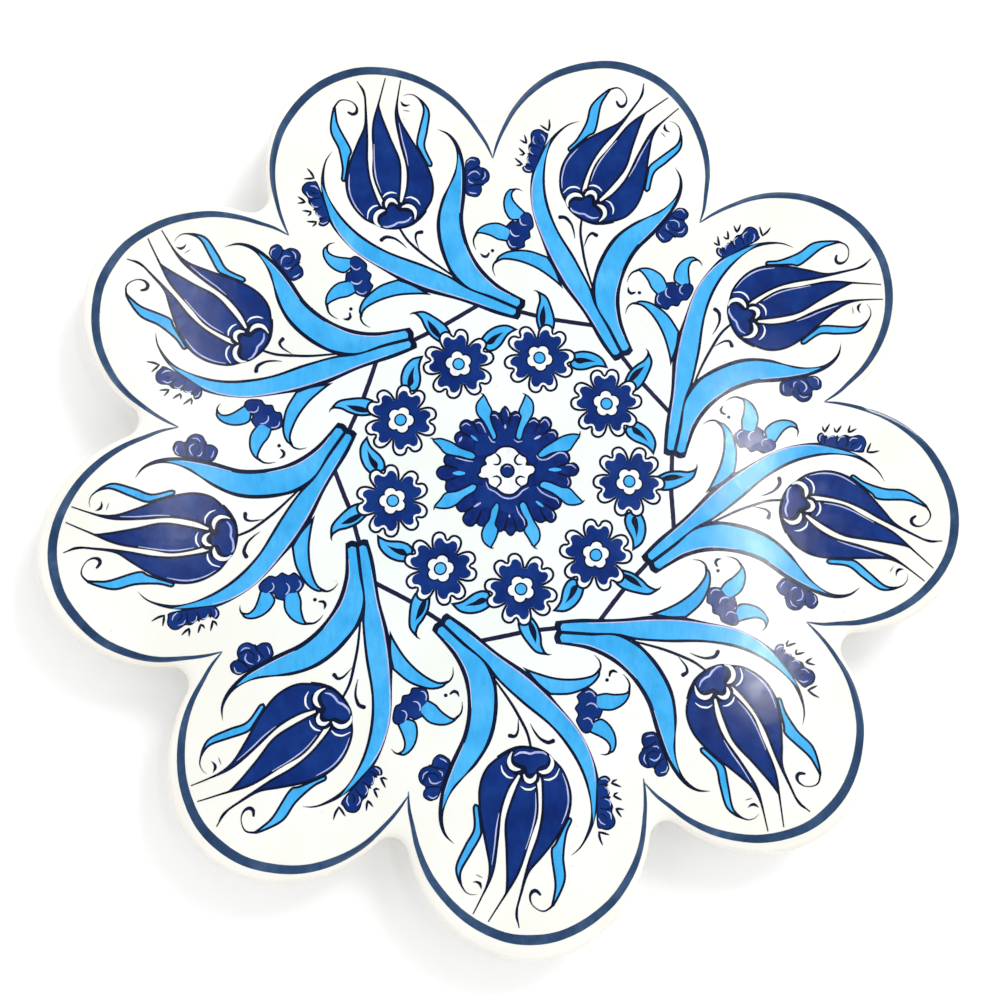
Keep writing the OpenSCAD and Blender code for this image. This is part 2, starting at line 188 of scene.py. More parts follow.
# ---- Curves ------------------------------------------------------------------------------------
def blended(a, b, c, d, t):
    return tuple(
        0.5 * (2 * q + (r - p) * t + (2 * p - 5 * q + 4 * r - s) * t * t + (3 * q - p - 3 * r + s) * t ** 3)
        for p, q, r, s in zip(a, b, c, d))


def curve(points, step=STEP):
    """A smooth open curve through the points."""
    path = []
    last = len(points) - 1
    for i in range(last):
        a, b, c, d = points[max(i - 1, 0)], points[i], points[i + 1], points[min(i + 2, last)]
        n = max(1, round(math.dist(b[:2], c[:2]) / step))
        path += [blended(a, b, c, d, j / n) for j in range(n)]
    return path + [tuple(points[-1])]


def ring(points, step=STEP):
    """A smooth closed curve through the points."""
    path = []
    count = len(points)
    for i in range(count):
        a, b, c, d = (points[(i + j) % count] for j in (-1, 0, 1, 2))
        n = max(1, round(math.dist(b, c) / step))
        path += [blended(a, b, c, d, j / n) for j in range(n)]
    return path


def outline(*runs, step=STEP):
    """A closed loop of smooth runs that meet in corners; each run starts where the one before it ends."""
    loop = []
    for before, run in zip(runs[-1:] + runs[:-1], runs):
        loop += curve(before[-1:] + run, step)[:-1]
    return loop


def inside(x, y, loops):
    hit = False
    for loop in loops:
        for (x0, y0), (x1, y1) in zip(loop, loop[1:] + loop[:1]):
            if (y0 > y) != (y1 > y) and x < (x1 - x0) * (y - y0) / (y1 - y0) + x0:
                hit = not hit
    return hit


def moved_loop(loop, width, inward, clear):
    """The loop moved sideways; a point nearer the old loop than clear times the width falls away."""
    n = len(loop)
    tree = tree_of(loop)
    moved = []
    for i, (x, y) in enumerate(loop):
        (x0, y0), (x1, y1) = loop[i - 1], loop[(i + 1) % n]
        length = math.hypot(x1 - x0, y1 - y0) or 1
        nx, ny = -(y1 - y0) / length, (x1 - x0) / length
        for side in (1, -1):
            p = (x + side * nx * width, y + side * ny * width)
            if tree.find((*p, 0))[2] > width * clear and inside(*p, [loop]) == inward:
                moved.append(p)
                break
    return moved


def inset(loop, width):
    return moved_loop(loop, width, True, 0.93)


def grown(loop, width):
    return moved_loop(loop, width, False, 0.9)


# ---- Painting ----------------------------------------------------------------------------------
class Drawing:
    """Flat painted shapes of one colour, in millimetres, before they are laid on the face."""

    def __init__(self):
        self.flat, self.faces, self.border, self.ink = [], [], [], []

    def _keep(self, flat, faces, ink):
        base = len(self.flat)
        sides = {(i, j) for f in faces for i, j in zip(f, f[1:] + f[:1])}
        self.flat += flat
        self.ink += ink
        self.faces += [[base + i for i in f] for f in faces]
        self.border += [(base + i, base + j) for i, j in sorted(sides) if (j, i) not in sides]

    def area(self, *loops):
        """A filled area; every loop after the first is a hole."""
        loops = [[(p[0], p[1]) for p in loop] for loop in loops]
        flat, edges = [], []
        for loop in loops:
            start, n = len(flat), len(loop)
            flat += loop
            edges += [(start + i, start + (i + 1) % n) for i in range(n)]
        rim = tree_of(flat)
        x0, y0 = (min(p[k] for p in loops[0]) for k in (0, 1))
        x1, y1 = (max(p[k] for p in loops[0]) for k in (0, 1))
        rows, columns = int((y1 - y0) / (GRAIN * 0.87)) + 1, int((x1 - x0) / GRAIN) + 1
        for j in range(rows):
            for i in range(columns):
                p = (x0 + (i + j % 2 / 2) * GRAIN, y0 + (j + 0.5) * GRAIN * 0.87)
                if rim.find((*p, 0))[2] > GRAIN * 0.4 and inside(*p, loops):
                    flat.append(p)
        out, _, faces, _, _, _ = delaunay_2d_cdt([Vector(p) for p in flat], edges, [], 0, 1e-5)
        out = [(v.x, v.y) for v in out]
        middles = [[sum(out[i][k] for i in f) / len(f) for k in (0, 1)] for f in faces]
        kept = [list(f) for f, middle in zip(faces, middles) if inside(*middle, loops)]
        used = sorted({i for f in kept for i in f})
        number = {old: new for new, old in enumerate(used)}
        self._keep([out[i] for i in used], [[number[i] for i in f] for f in kept], [1.0] * len(used))
        return self

    def stroke(self, points, wobble=0.08, step=STEP, rows=2, full=False):
        """A brush stroke along [(x, y, width)] with round ends and a slightly uneven edge."""
        path = curve(points, step)
        path = stroke_cap(path[0], path[1])[::-1] + path + stroke_cap(path[-1], path[-2])
        n = len(path)
        flat, ink = [], []
        for row in range(rows):
            side = 1 - 2 * row / (rows - 1)
            for i, (x, y, w) in enumerate(path):
                (x0, y0, _), (x1, y1, _) = path[max(i - 1, 0)], path[min(i + 1, n - 1)]
                length = math.hypot(x1 - x0, y1 - y0) or 1
                nx, ny = -(y1 - y0) / length, (x1 - x0) / length
                uneven = 1 + wobble * noise.noise(Vector((x, y, 3 if side > 0 else 9)))
                offset = side * max(w, 0.04) / 2 * uneven
                flat.append((x + nx * offset, y + ny * offset))
                ink.append(1.0 if full else min(1.0, max(0.0, (w - 0.05) / 0.35)))
        faces = [[row * n + i, (row + 1) * n + i, (row + 1) * n + i + 1, row * n + i + 1]
                 for row in range(rows - 1) for i in range(n - 1)]
        self._keep(flat, faces, ink)
        return self

    def dot(self, x, y, r, sides=28):
        return self.area([(x + r * math.cos(a), y + r * math.sin(a))
                          for a in (2 * math.pi * i / sides for i in range(sides))])


def stroke_cap(end, before):
    x, y, w = end
    dx, dy = x - before[0], y - before[1]
    length = math.hypot(dx, dy) or 1
    return [(x + dx / length * w * s, y + dy / length * w * s, w * t)
            for s, t in ((0.22, 0.9), (0.4, 0.6), (0.49, 0.2))]


def strayed(x, y):
    """The hand's small departures from the pattern, the same for all colours at one place."""
    return tuple(v + HAND * noise.noise(Vector((x / 9, y / 9, layer))) for v, layer in ((x, 21), (y, 47)))


LOBE_TURNS = [180 - k * LOBE_STEP for k in range(LOBES)]
LOW_LOBE_IN = 1.0        # the bottom lobe's pattern is shifted this far towards the middle
LOW_LOBE_FROM = 15       # where the shift begins, and over what distance it grows
LOW_LOBE_OVER = 55


def laid(x, y, turn):
    """Where a pattern's point lies on the plate, in millimetres."""
    if turn == LOBE_TURNS[0]:
        y -= LOW_LOBE_IN * min(1.0, max(0.0, (y - LOW_LOBE_FROM) / LOW_LOBE_OVER))
    return strayed(*turned(x, y, turn))


def piece(name, verts, faces, material, nodes=(), sharp=()):
    mesh = bpy.data.meshes.new(name)
    mesh.from_pydata([(x * MM, y * MM, z * MM) for x, y, z in verts], [], faces)
    mesh.polygons.foreach_set("use_smooth", [True] * len(mesh.polygons))
    mesh.materials.append(material)
    if sharp:
        flags = {tuple(sorted(e)) for e in sharp}
        layer = mesh.attributes.new("sharp_edge", "BOOLEAN", "EDGE")
        layer.data.foreach_set("value", [tuple(sorted(e.vertices)) in flags for e in mesh.edges])
    obj = bpy.data.objects.new(name, mesh)
    bpy.context.scene.collection.objects.link(obj)
    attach(obj, "root")
    if nodes:
        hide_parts(*nodes)
    return obj


def set_layer(obj, name, values):
    layer = obj.data.attributes.new(name, "FLOAT", "POINT")
    layer.data.foreach_set("value", values)


def paint(name, drawing, height, material, nodes=(), turns=LOBE_TURNS):
    """Lays a drawing on the face at every turn and closes it into a thin film."""
    verts, faces, sharp, ink = [], [], [], []
    n = len(drawing.flat)
    for turn in turns:
        spots = [laid(x, y, turn) for x, y in drawing.flat]
        levels = [face_z(x, y) for x, y in spots]
        base = len(verts)
        verts += [(x, y, z + height) for (x, y), z in zip(spots, levels)]
        verts += [(x, y, z - SINK) for (x, y), z in zip(spots, levels)]
        ink += drawing.ink * 2
        for f in drawing.faces:
            faces.append([base + i for i in f])
            faces.append([base + n + i for i in reversed(f)])
        for i, j in drawing.border:
            faces.append([base + j, base + i, base + n + i, base + n + j])
            sharp += [(base + i, base + j), (base + n + i, base + n + j)]
    obj = piece(name, verts, faces, material, nodes, sharp)
    set_layer(obj, "ink", ink)


# ---- Materials ---------------------------------------------------------------------------------
def colour(red, green, blue):
    """Screen colour, 0 to 255, as the linear colour that the shaders take."""
    def linear(v):
        v /= 255
        return v / 12.92 if v <= 0.04045 else ((v + 0.055) / 1.055) ** 2.4
    return (linear(red), linear(green), linear(blue), 1)


class Nodes:
    """A short way to write a node material."""

    def __init__(self, name):
        self.material = bpy.data.materials.new(name)
        self.material.use_nodes = True
        self.tree = self.material.node_tree
        self.shader = self.tree.nodes["Principled BSDF"]
        self.place = self.tree.nodes.new("ShaderNodeTexCoord").outputs["Object"]

    def set(self, **values):
        for key, value in values.items():
            self.shader.inputs[key.replace("_", " ")].default_value = value

    def link(self, source, target):
        self.tree.links.new(source, target)

    def noise(self, scale, detail=3.0, roughness=0.55, stretch=None):
        node = self.tree.nodes.new("ShaderNodeTexNoise")
        node.inputs["Scale"].default_value = scale
        node.inputs["Detail"].default_value = detail
        node.inputs["Roughness"].default_value = roughness
        if stretch:
            mapping = self.tree.nodes.new("ShaderNodeMapping")
            mapping.inputs["Scale"].default_value = stretch
            self.link(self.place, mapping.inputs["Vector"])
            self.link(mapping.outputs["Vector"], node.inputs["Vector"])
        else:
            self.link(self.place, node.inputs["Vector"])
        return node.outputs["Fac"]

    def attribute(self, name):
        node = self.tree.nodes.new("ShaderNodeAttribute")
        node.attribute_name = name
        return node.outputs["Fac"]

    def ramp(self, fac, *stops):
        """stops are (position, colour or grey)."""
        node = self.tree.nodes.new("ShaderNodeValToRGB")
        elements = node.color_ramp.elements
        while len(elements) < len(stops):
            elements.new(0.5)
        for element, (at, value) in zip(elements, stops):
            element.position = at
            element.color = value if isinstance(value, tuple) else (value, value, value, 1)
        self.link(fac, node.inputs["Fac"])
        return node.outputs["Color"]

    def mix(self, fac, a, b, blend="MIX"):
        node = self.tree.nodes.new("ShaderNodeMix")
        node.data_type = "RGBA"
        node.blend_type = blend
        for socket, value in ((node.inputs["Factor"], fac), (node.inputs["A"], a), (node.inputs["B"], b)):
            if isinstance(value, (tuple, float, int)):
                if socket.type == "RGBA" and not isinstance(value, tuple):
                    value = (value, value, value, 1)
                socket.default_value = value
            else:
                self.link(value, socket)
        return node.outputs["Result"]

    def math(self, operation, a, b=0.0):
        node = self.tree.nodes.new("ShaderNodeMath")
        node.operation = operation
        for socket, value in zip(node.inputs, (a, b)):
            if isinstance(value, (float, int)):
                socket.default_value = value
            else:
                self.link(value, socket)
        return node.outputs["Value"]

    def bump(self, height, distance, below=None):
        """Relief of this distance in metres, on top of another relief."""
        node = self.tree.nodes.new("ShaderNodeBump")
        node.inputs["Strength"].default_value = 1.0
        node.inputs["Distance"].default_value = distance
        self.link(height, node.inputs["Height"])
        if below is not None:
            self.link(below, node.inputs["Normal"])
        return node.outputs["Normal"]


GLOSS = 0.12             # mean roughness of the glaze


def glaze_surface(nodes):
    """What all the glazed surfaces share: a glossy coat with slow waves, orange peel and fine pits."""
    slow = nodes.bump(nodes.noise(95, 2), 0.00004)
    peeled = nodes.bump(nodes.noise(750, 2), 0.000007, below=slow)
    fine = nodes.bump(nodes.noise(3200, 1), 0.0000025, below=peeled)
    nodes.link(fine, nodes.shader.inputs["Normal"])
    spread = nodes.ramp(nodes.noise(260, 3), (0.3, GLOSS * 0.8), (0.75, GLOSS * 1.35))
    nodes.link(spread, nodes.shader.inputs["Roughness"])
    nodes.set(IOR=1.5)


GROUND = colour(251, 252, 247)       # the white that shows through thin paint


def white_glaze():
    nodes = Nodes("white_glaze")
    distance = nodes.tree.nodes.new("ShaderNodeVectorMath")
    distance.operation = "LENGTH"
    nodes.link(nodes.place, distance.inputs[0])
    tone = nodes.ramp(nodes.math("MULTIPLY", distance.outputs["Value"], 8.0),
                      (0.0, colour(238, 245, 243)), (0.35, colour(236, 243, 243)),
                      (0.62, colour(241, 243, 240)), (0.95, colour(243, 243, 239)))
    clouds = nodes.ramp(nodes.noise(38, 4), (0.35, colour(249, 248, 244)), (0.7, (1.0, 1.0, 1.0, 1)))
    tone = nodes.mix(1.0, tone, clouds, "MULTIPLY")
    edge = nodes.attribute("edge")
    edge = nodes.math("MULTIPLY", edge, nodes.ramp(nodes.noise(70, 4), (0.3, 0.35), (0.7, 1.0)))
    tone = nodes.mix(edge, tone, colour(226, 215, 202))
    specks = nodes.ramp(nodes.noise(420, 2), (0.735, 0.0), (0.77, 0.5))
    tone = nodes.mix(specks, tone, colour(208, 200, 186))
    nodes.link(tone, nodes.shader.inputs["Base Color"])
    glaze_surface(nodes)
    return nodes.material


def bare_clay():
    nodes = Nodes("bare_clay")
    tone = nodes.ramp(nodes.noise(240, 6, 0.7), (0.3, colour(206, 192, 168)), (0.75, colour(232, 222, 203)))
    grit = nodes.ramp(nodes.noise(1900, 2), (0.62, 0.0), (0.7, 0.6))
    nodes.link(nodes.mix(grit, tone, colour(170, 150, 122)), nodes.shader.inputs["Base Color"])
    turning = nodes.bump(nodes.noise(60, 2, stretch=(1, 1, 40)), 0.0001)
    nodes.link(nodes.bump(nodes.noise(1600, 3), 0.00008, below=turning), nodes.shader.inputs["Normal"])
    nodes.set(Roughness=0.82)
    return nodes.material


def paint_glaze(name, deep, main, pale, thin=0.4, blotch=120):
    """Pigment of uneven thickness under the glaze; a thin line lets the white show through."""
    nodes = Nodes(name)
    tone = nodes.ramp(nodes.noise(blotch, 4, 0.6), (0.28, deep), (0.5, main), (0.76, pale))
    brushed = nodes.ramp(nodes.noise(900, 3, 0.6, stretch=(1, 0.35, 1)), (0.3, 0.9), (0.7, 1.08))
    tone = nodes.mix(1.0, tone, brushed, "MULTIPLY")
    bare = nodes.ramp(nodes.noise(2600, 2), (0.66, 0.0), (0.78, 0.35))
    tone = nodes.mix(bare, tone, pale)
    faint = nodes.math("MULTIPLY", nodes.math("SUBTRACT", 1.0, nodes.attribute("ink")), thin)
    nodes.link(nodes.mix(faint, tone, GROUND), nodes.shader.inputs["Base Color"])
    glaze_surface(nodes)
    return nodes.material


WHITE = white_glaze()
CLAY = bare_clay()
NAVY = paint_glaze("navy_line", colour(3, 13, 40), colour(6, 19, 49), colour(16, 33, 69), thin=0.42)
COBALT = paint_glaze("cobalt", colour(5, 33, 100), colour(9, 45, 116), colour(22, 58, 132))
DEEP = paint_glaze("cobalt_deep", colour(4, 24, 82), colour(9, 37, 108), colour(20, 52, 128), blotch=400)
SKY = paint_glaze("turquoise", colour(46, 158, 224), colour(66, 172, 236), colour(92, 186, 243), blotch=70)
RIM_BLUE = paint_glaze("rim_blue", colour(32, 56, 90), colour(45, 71, 105), colour(72, 96, 128), thin=0.7)
BORDER = paint_glaze("border_navy", colour(22, 22, 54), colour(29, 28, 62), colour(44, 42, 78))
LILAC = paint_glaze("pale_line", colour(140, 152, 212), colour(168, 178, 226), colour(204, 208, 238),
                    blotch=300)
RESERVE = paint_glaze("reserve_white", colour(226, 232, 238), colour(236, 240, 242), colour(243, 245, 244))


# ---- Body and foot -----------------------------------------------------------------------------
def lip_profile():
    """[(inset, height, edge tint)] from the flat face round the lip to the back."""
    nose = LIP_T / 2
    top = []
    for i in range(1, 10):
        rise = math.sin(math.pi / 2 * i / 9)
        top.append((LIP_ROLL * (1 - rise), FACE_Z - roll(LIP_ROLL * (1 - rise)), 0.1 + 0.9 * rise ** 3))
    under = [(2.8 * (1 - math.cos(a)), FACE_Z - nose - nose * math.sin(a), math.cos(a))
             for a in (math.pi / 2 * i / 8 for i in range(1, 9))]
    back = [(5.5, FACE_Z - LIP_T - 0.55, 0), (8.5, BACK_Z + 0.4, 0), (12, BACK_Z + 0.08, 0)]
    return top + under + back


def plate_body():
    n = len(OUTLINE)
    verts, edge = [], []
    scales = [1 - i / 30 for i in range(30)]
    rim_inset = 3.2
    for s in reversed(scales):
        for x, y, nx, ny in OUTLINE:
            px, py = (x + nx * rim_inset) * s, (y + ny * rim_inset) * s
            verts.append((px, py, FACE_Z - FACE_DROP + WAVE * waves(px, py)))
            edge.append(0.0)
    rings = len(scales)
    for depth, z, tint in lip_profile():
        for x, y, nx, ny in OUTLINE:
            hand = 0.08 + 0.08 * noise.noise(Vector((x / 16, y / 16, 33)))
            px, py = x + nx * (depth + hand), y + ny * (depth + hand)
            on_face = z > FACE_Z - LIP_T / 2 + 0.01
            verts.append((px, py, face_z(px, py) if on_face else z))
            edge.append(tint)
        rings += 1
    for s in (0.8, 0.6, 0.4, 0.2, 0.05):
        for x, y, nx, ny in OUTLINE:
            px, py = (x + nx * 12) * s, (y + ny * 12) * s
            verts.append((px, py, BACK_Z + 0.08))
            edge.append(0.0)
        rings += 1
    faces = [list(range(n - 1, -1, -1)), [(rings - 1) * n + i for i in range(n)]]
    for j in range(rings - 1):
        for i in range(n):
            i2 = (i + 1) % n
            faces.append([j * n + i, j * n + i2, (j + 1) * n + i2, (j + 1) * n + i])
    obj = piece("body", verts, faces, WHITE, ["plate_body"])
    set_layer(obj, "edge", edge)


def foot_ring():
    outer, inner = foot_hi.x, foot_hi.x - 10
    flat_in, flat_out = inner + 3, outer - 3
    top = foot_hi.z
    profile = [(inner, top + 0.35), (inner + 0.6, top - 0.5), (inner + 1.2, top - 2.2), (inner + 2.5, 2.0),
               (flat_in + 0.05, 0.5), (flat_in + 0.3, 0.15), (flat_in + 0.8, 0.0), (outer - 5, 0.0),
               (flat_out - 0.8, 0.0), (flat_out - 0.3, 0.15), (flat_out - 0.05, 0.5), (outer - 2.5, 2.0),
               (outer - 1.2, top - 2.2), (outer - 0.6, top - 0.5), (outer, top), (outer, top + 0.35)]
    sides = 240
    verts, faces = [], []
    n = len(profile)
    for i in range(sides):
        a = 2 * math.pi * i / sides
        for r, z in profile:
            inward = 0.0
            if z > 0.2:
                inward = 0.12 * (1 + noise.noise(Vector((math.cos(a) * 3, math.sin(a) * 3, z / 3))))
            mid = (inner + outer) / 2
            r += inward if r < mid else -inward
            verts.append((r * math.cos(a), r * math.sin(a), z))
    for i in range(sides):
        for j in range(n):
            a, b = i * n, ((i + 1) % sides) * n
            faces.append([a + j, b + j, b + (j + 1) % n, a + (j + 1) % n])
    piece("foot", verts, [f[::-1] for f in faces], CLAY, ["foot_ring"])


plate_body()
foot_ring()


# ---- The painting of one lobe: x to the right, y outward from the plate's axis ------------------
def contoured(line, fill, loop, width):
    """A shape in its dark contour: the dark coat lies under all of it, the colour inside the line."""
    line.area(loop)
    fill.area(inset(loop, width))


def rim():
    path = [(-29.8, 82, 0.3), (-29.9, 86, 0.75), (-29.5, 91, 1), (-28.2, 98, 1.4), (-25.4, 104.4, 1.8),
        (-20.6, 110.8, 2), (-14, 115.7, 2.2), (-7, 118.7, 2.3), (0, 119.5, 2.4), (7, 118.5, 2.3),
        (14, 115.2, 2.2), (20.2, 110, 2), (25, 103.4, 1.8), (27.9, 96.5, 1.4), (29.2, 90, 1),
        (29.8, 86, 0.75), (29.8, 82, 0.3)]
    paint("rim_lines", Drawing().stroke(path, 0.03, rows=7), LINE_H, RIM_BLUE, ["rim_line"])


def tulip():
    line, petals, sepals, white, pale = (Drawing() for _ in range(5))
    left = outline(
        [(-9.6, 78.8), (-11.2, 84.5), (-10.4, 90), (-7.5, 94.8), (-3, 99.8), (0.5, 103.5), (2.5, 108),
            (4.1, 113), (3.8, 116.2)],
        [(4.6, 113), (3.2, 108), (0.5, 100), (-2, 94), (-3.4, 88.5), (-3.8, 82), (-3.4, 79.8)],
        [(-5.5, 79.3), (-7.2, 76.8), (-6.5, 75.2)])
    middle = outline(
        [(-2.9, 85), (-2.4, 90), (-0.3, 95), (2.7, 102.8), (6.5, 108.3), (11.3, 114.3)],
        [(7.4, 109), (6.5, 105), (6.2, 98), (6.1, 91), (4.3, 85.5), (1.2, 78.9)],
        [(1, 80.2), (-1, 81.5), (-2.6, 80.2)])
    right = outline(
        [(4.5, 82.8), (6.6, 88), (7.7, 95), (9.2, 102.3), (11.5, 107), (14.9, 112)],
        [(12, 106.8), (10.7, 102), (11.3, 95.8), (12.4, 88), (12.2, 81.8), (10, 77), (6, 74), (3.2, 73)],
        [(4.4, 76.8), (1.9, 79.2)])
    for petal in (left, middle, right):
        contoured(line, petals, petal, 0.65)
    calyx = ring([(-6.2, 75.2), (-5.4, 77.2), (-3.3, 77.8), (-2.2, 79.2), (-0.4, 79.2), (0.1, 77.4),
        (1.5, 76.9), (3.1, 75.5), (2.7, 73.3), (0.5, 72.7), (-3, 73.4), (-5.9, 74.9)])
    contoured(line, petals, grown(calyx, 0.35), 0.5)
    # the petals run out into fine points
    line.stroke([(4, 111.5, 0.5), (4.1, 113.8, 0.42), (3.8, 116.3, 0.35)])
    line.stroke([(6.8, 108.2, 0.5), (9.1, 111.4, 0.42), (11.3, 114.4, 0.35)])
    line.stroke([(11.7, 106.7, 0.5), (13.1, 109.2, 0.42), (15, 112.3, 0.35)])
    # the dark ground round the calyx, the arches over it and the white scallops between
    line.area(ring([(-7.5, 76.6), (-7.2, 78.6), (-5.6, 79.9), (-3.4, 80), (-2.7, 81.1), (-1, 82),
        (0.8, 81.2), (1.5, 79.4), (3.6, 78.6), (4.8, 77), (4.9, 74), (2, 72.7), (-2, 73), (-5.4, 74.4)]))
    line.stroke([(-7.3, 76.4, 0.5), (-5.2, 74.2, 0.6), (-2, 72.8, 0.6), (1.5, 72.4, 0.6), (4.5, 73.2, 0.6),
        (7, 74.5, 0.5)])
    line.stroke([(-7.6, 76.6, 0.5), (-7.3, 78.6, 0.7), (-5.6, 80.1, 0.7), (-3.4, 79.9, 0.7),
        (-2.9, 81.2, 0.6), (-1, 82.2, 0.6), (0.9, 81.3, 0.6), (1.5, 79.2, 0.6), (3.6, 78.8, 0.7),
        (5, 77, 0.6), (4.6, 74.2, 0.5)])
    white.stroke([(-6.2, 75, 0.2), (-6.8, 76.2, 0.7), (-6.6, 77.7, 1.05), (-5.6, 78.8, 1.1),
        (-4.3, 79.1, 0.9), (-3.4, 78.9, 0.3)])
    white.stroke([(-2.5, 79.6, 0.3), (-2, 80.6, 0.9), (-0.9, 81.1, 1.15), (0.1, 80.6, 0.9),
        (0.6, 79.4, 0.3)])
    white.stroke([(1.5, 78, 0.3), (2.6, 77.9, 0.9), (3.6, 77.3, 1.1), (4.2, 76, 1), (3.9, 74.6, 0.6),
        (3.3, 73.6, 0.2)])
    pale.stroke([(-5.4, 74.8, 0.2), (-4.6, 74.2, 0.5), (-2.6, 74, 0.55), (-1.4, 74.3, 0.5), (0, 73.9, 0.55),
        (1.4, 73.9, 0.5), (2.6, 74.5, 0.2)])
    # the second, finer arches at the head of each petal, and the reserved lines that model the petals
    white.stroke([(-8.5, 78.4, 0.15), (-7.5, 80.2, 0.4), (-5.9, 81, 0.5), (-4.6, 80.9, 0.25)])
    white.stroke([(-2.2, 82.6, 0.2), (-1, 83.1, 0.5), (0.5, 82.9, 0.45), (1.5, 82.2, 0.15)])
    white.stroke([(3.4, 80, 0.15), (4.7, 79.7, 0.45), (5.9, 78.3, 0.45), (6.2, 76.8, 0.15)])
    pale.stroke([(-9.2, 79.6, 0.1), (-10.1, 82.6, 0.32), (-10.3, 86, 0.4), (-9.7, 88.9, 0.35),
        (-8.3, 92, 0.1)])
    pale.stroke([(-2.2, 84, 0.1), (-2, 88, 0.32), (-1, 92, 0.32), (1.2, 97.6, 0.12)])
    pale.stroke([(7.4, 88.5, 0.1), (8.2, 92, 0.32), (8.8, 96, 0.32), (9.8, 100.8, 0.1)])
    # the two sepals with their curls
    sepal_loops = [
        outline(
            [(-11, 91.3), (-9.5, 94.5), (-8.4, 100), (-8.5, 105.5), (-6, 110.6), (-4.3, 112.3)],
            [(-5.2, 109.3), (-5.7, 106), (-5.1, 98.6), (-6.6, 96.2), (-10.1, 90.3)]),
        outline(
            [(12.9, 85.9), (13.9, 86.5), (13.9, 91.8), (16.3, 95.8), (18.8, 100.5), (18.6, 103.8),
                (17.2, 106.5)],
            [(17.7, 103.8), (17.2, 101.5), (14.6, 97.7), (12, 93.7), (11.9, 91), (12.3, 86.6)])]
    for loop in sepal_loops:
        contoured(line, sepals, grown(loop, 0.08), 0.6)
    line.stroke([(-5.2, 111.4, 0.6), (-3, 112.8, 0.45), (-1.2, 112.4, 0.35), (0.3, 111, 0.35),
        (0.7, 109.2, 0.6), (0, 107.9, 0.95), (-1.1, 107.9, 0.9), (-1.9, 108.8, 0.6)])
    line.stroke([(17.7, 105.4, 0.5), (16.7, 107, 0.35), (15.2, 107.8, 0.25), (13.8, 107.8, 0.12)])
    line.stroke([(12.7, 106.6, 0.2), (13, 105.3, 0.8), (13.9, 104.8, 0.5), (14.7, 104.8, 0.2)])
    line.stroke([(12.3, 103.9, 0.15), (13.2, 103.4, 0.3), (13.9, 103, 0.15)])
    # the stem, and the two small commas beside it
    line.stroke([(-1.6, 73, 0.6), (-0.9, 69.2, 0.7), (0.8, 65.2, 0.75), (2.8, 61.2, 0.7), (5, 57.6, 0.6),
        (7.2, 54.2, 0.5)])
    line.stroke([(-7.3, 71.4, 1.1), (-5.8, 71.7, 0.95), (-3.9, 70.5, 0.65), (-2.6, 68.6, 0.45),
        (-1.8, 66.8, 0.2)])
    line.stroke([(3.6, 69.5, 1.1), (2.3, 69.7, 0.85), (1.5, 68.6, 0.55), (1.3, 67, 0.4), (1.2, 65.4, 0.2)])
    paint("tulip_outlines", line, LINE_H, NAVY, ["tulip_stems"])
    paint("tulip_petals", petals, FILL_H, COBALT, ["tulip_petals", "tulip_calyx"])
    paint("tulip_sepals", sepals, FILL_H, SKY, ["tulip_sepals"])
    paint("tulip_scallops", white, LIGHT_H, RESERVE)
    paint("tulip_highlights", pale, LIGHT_H, LILAC)


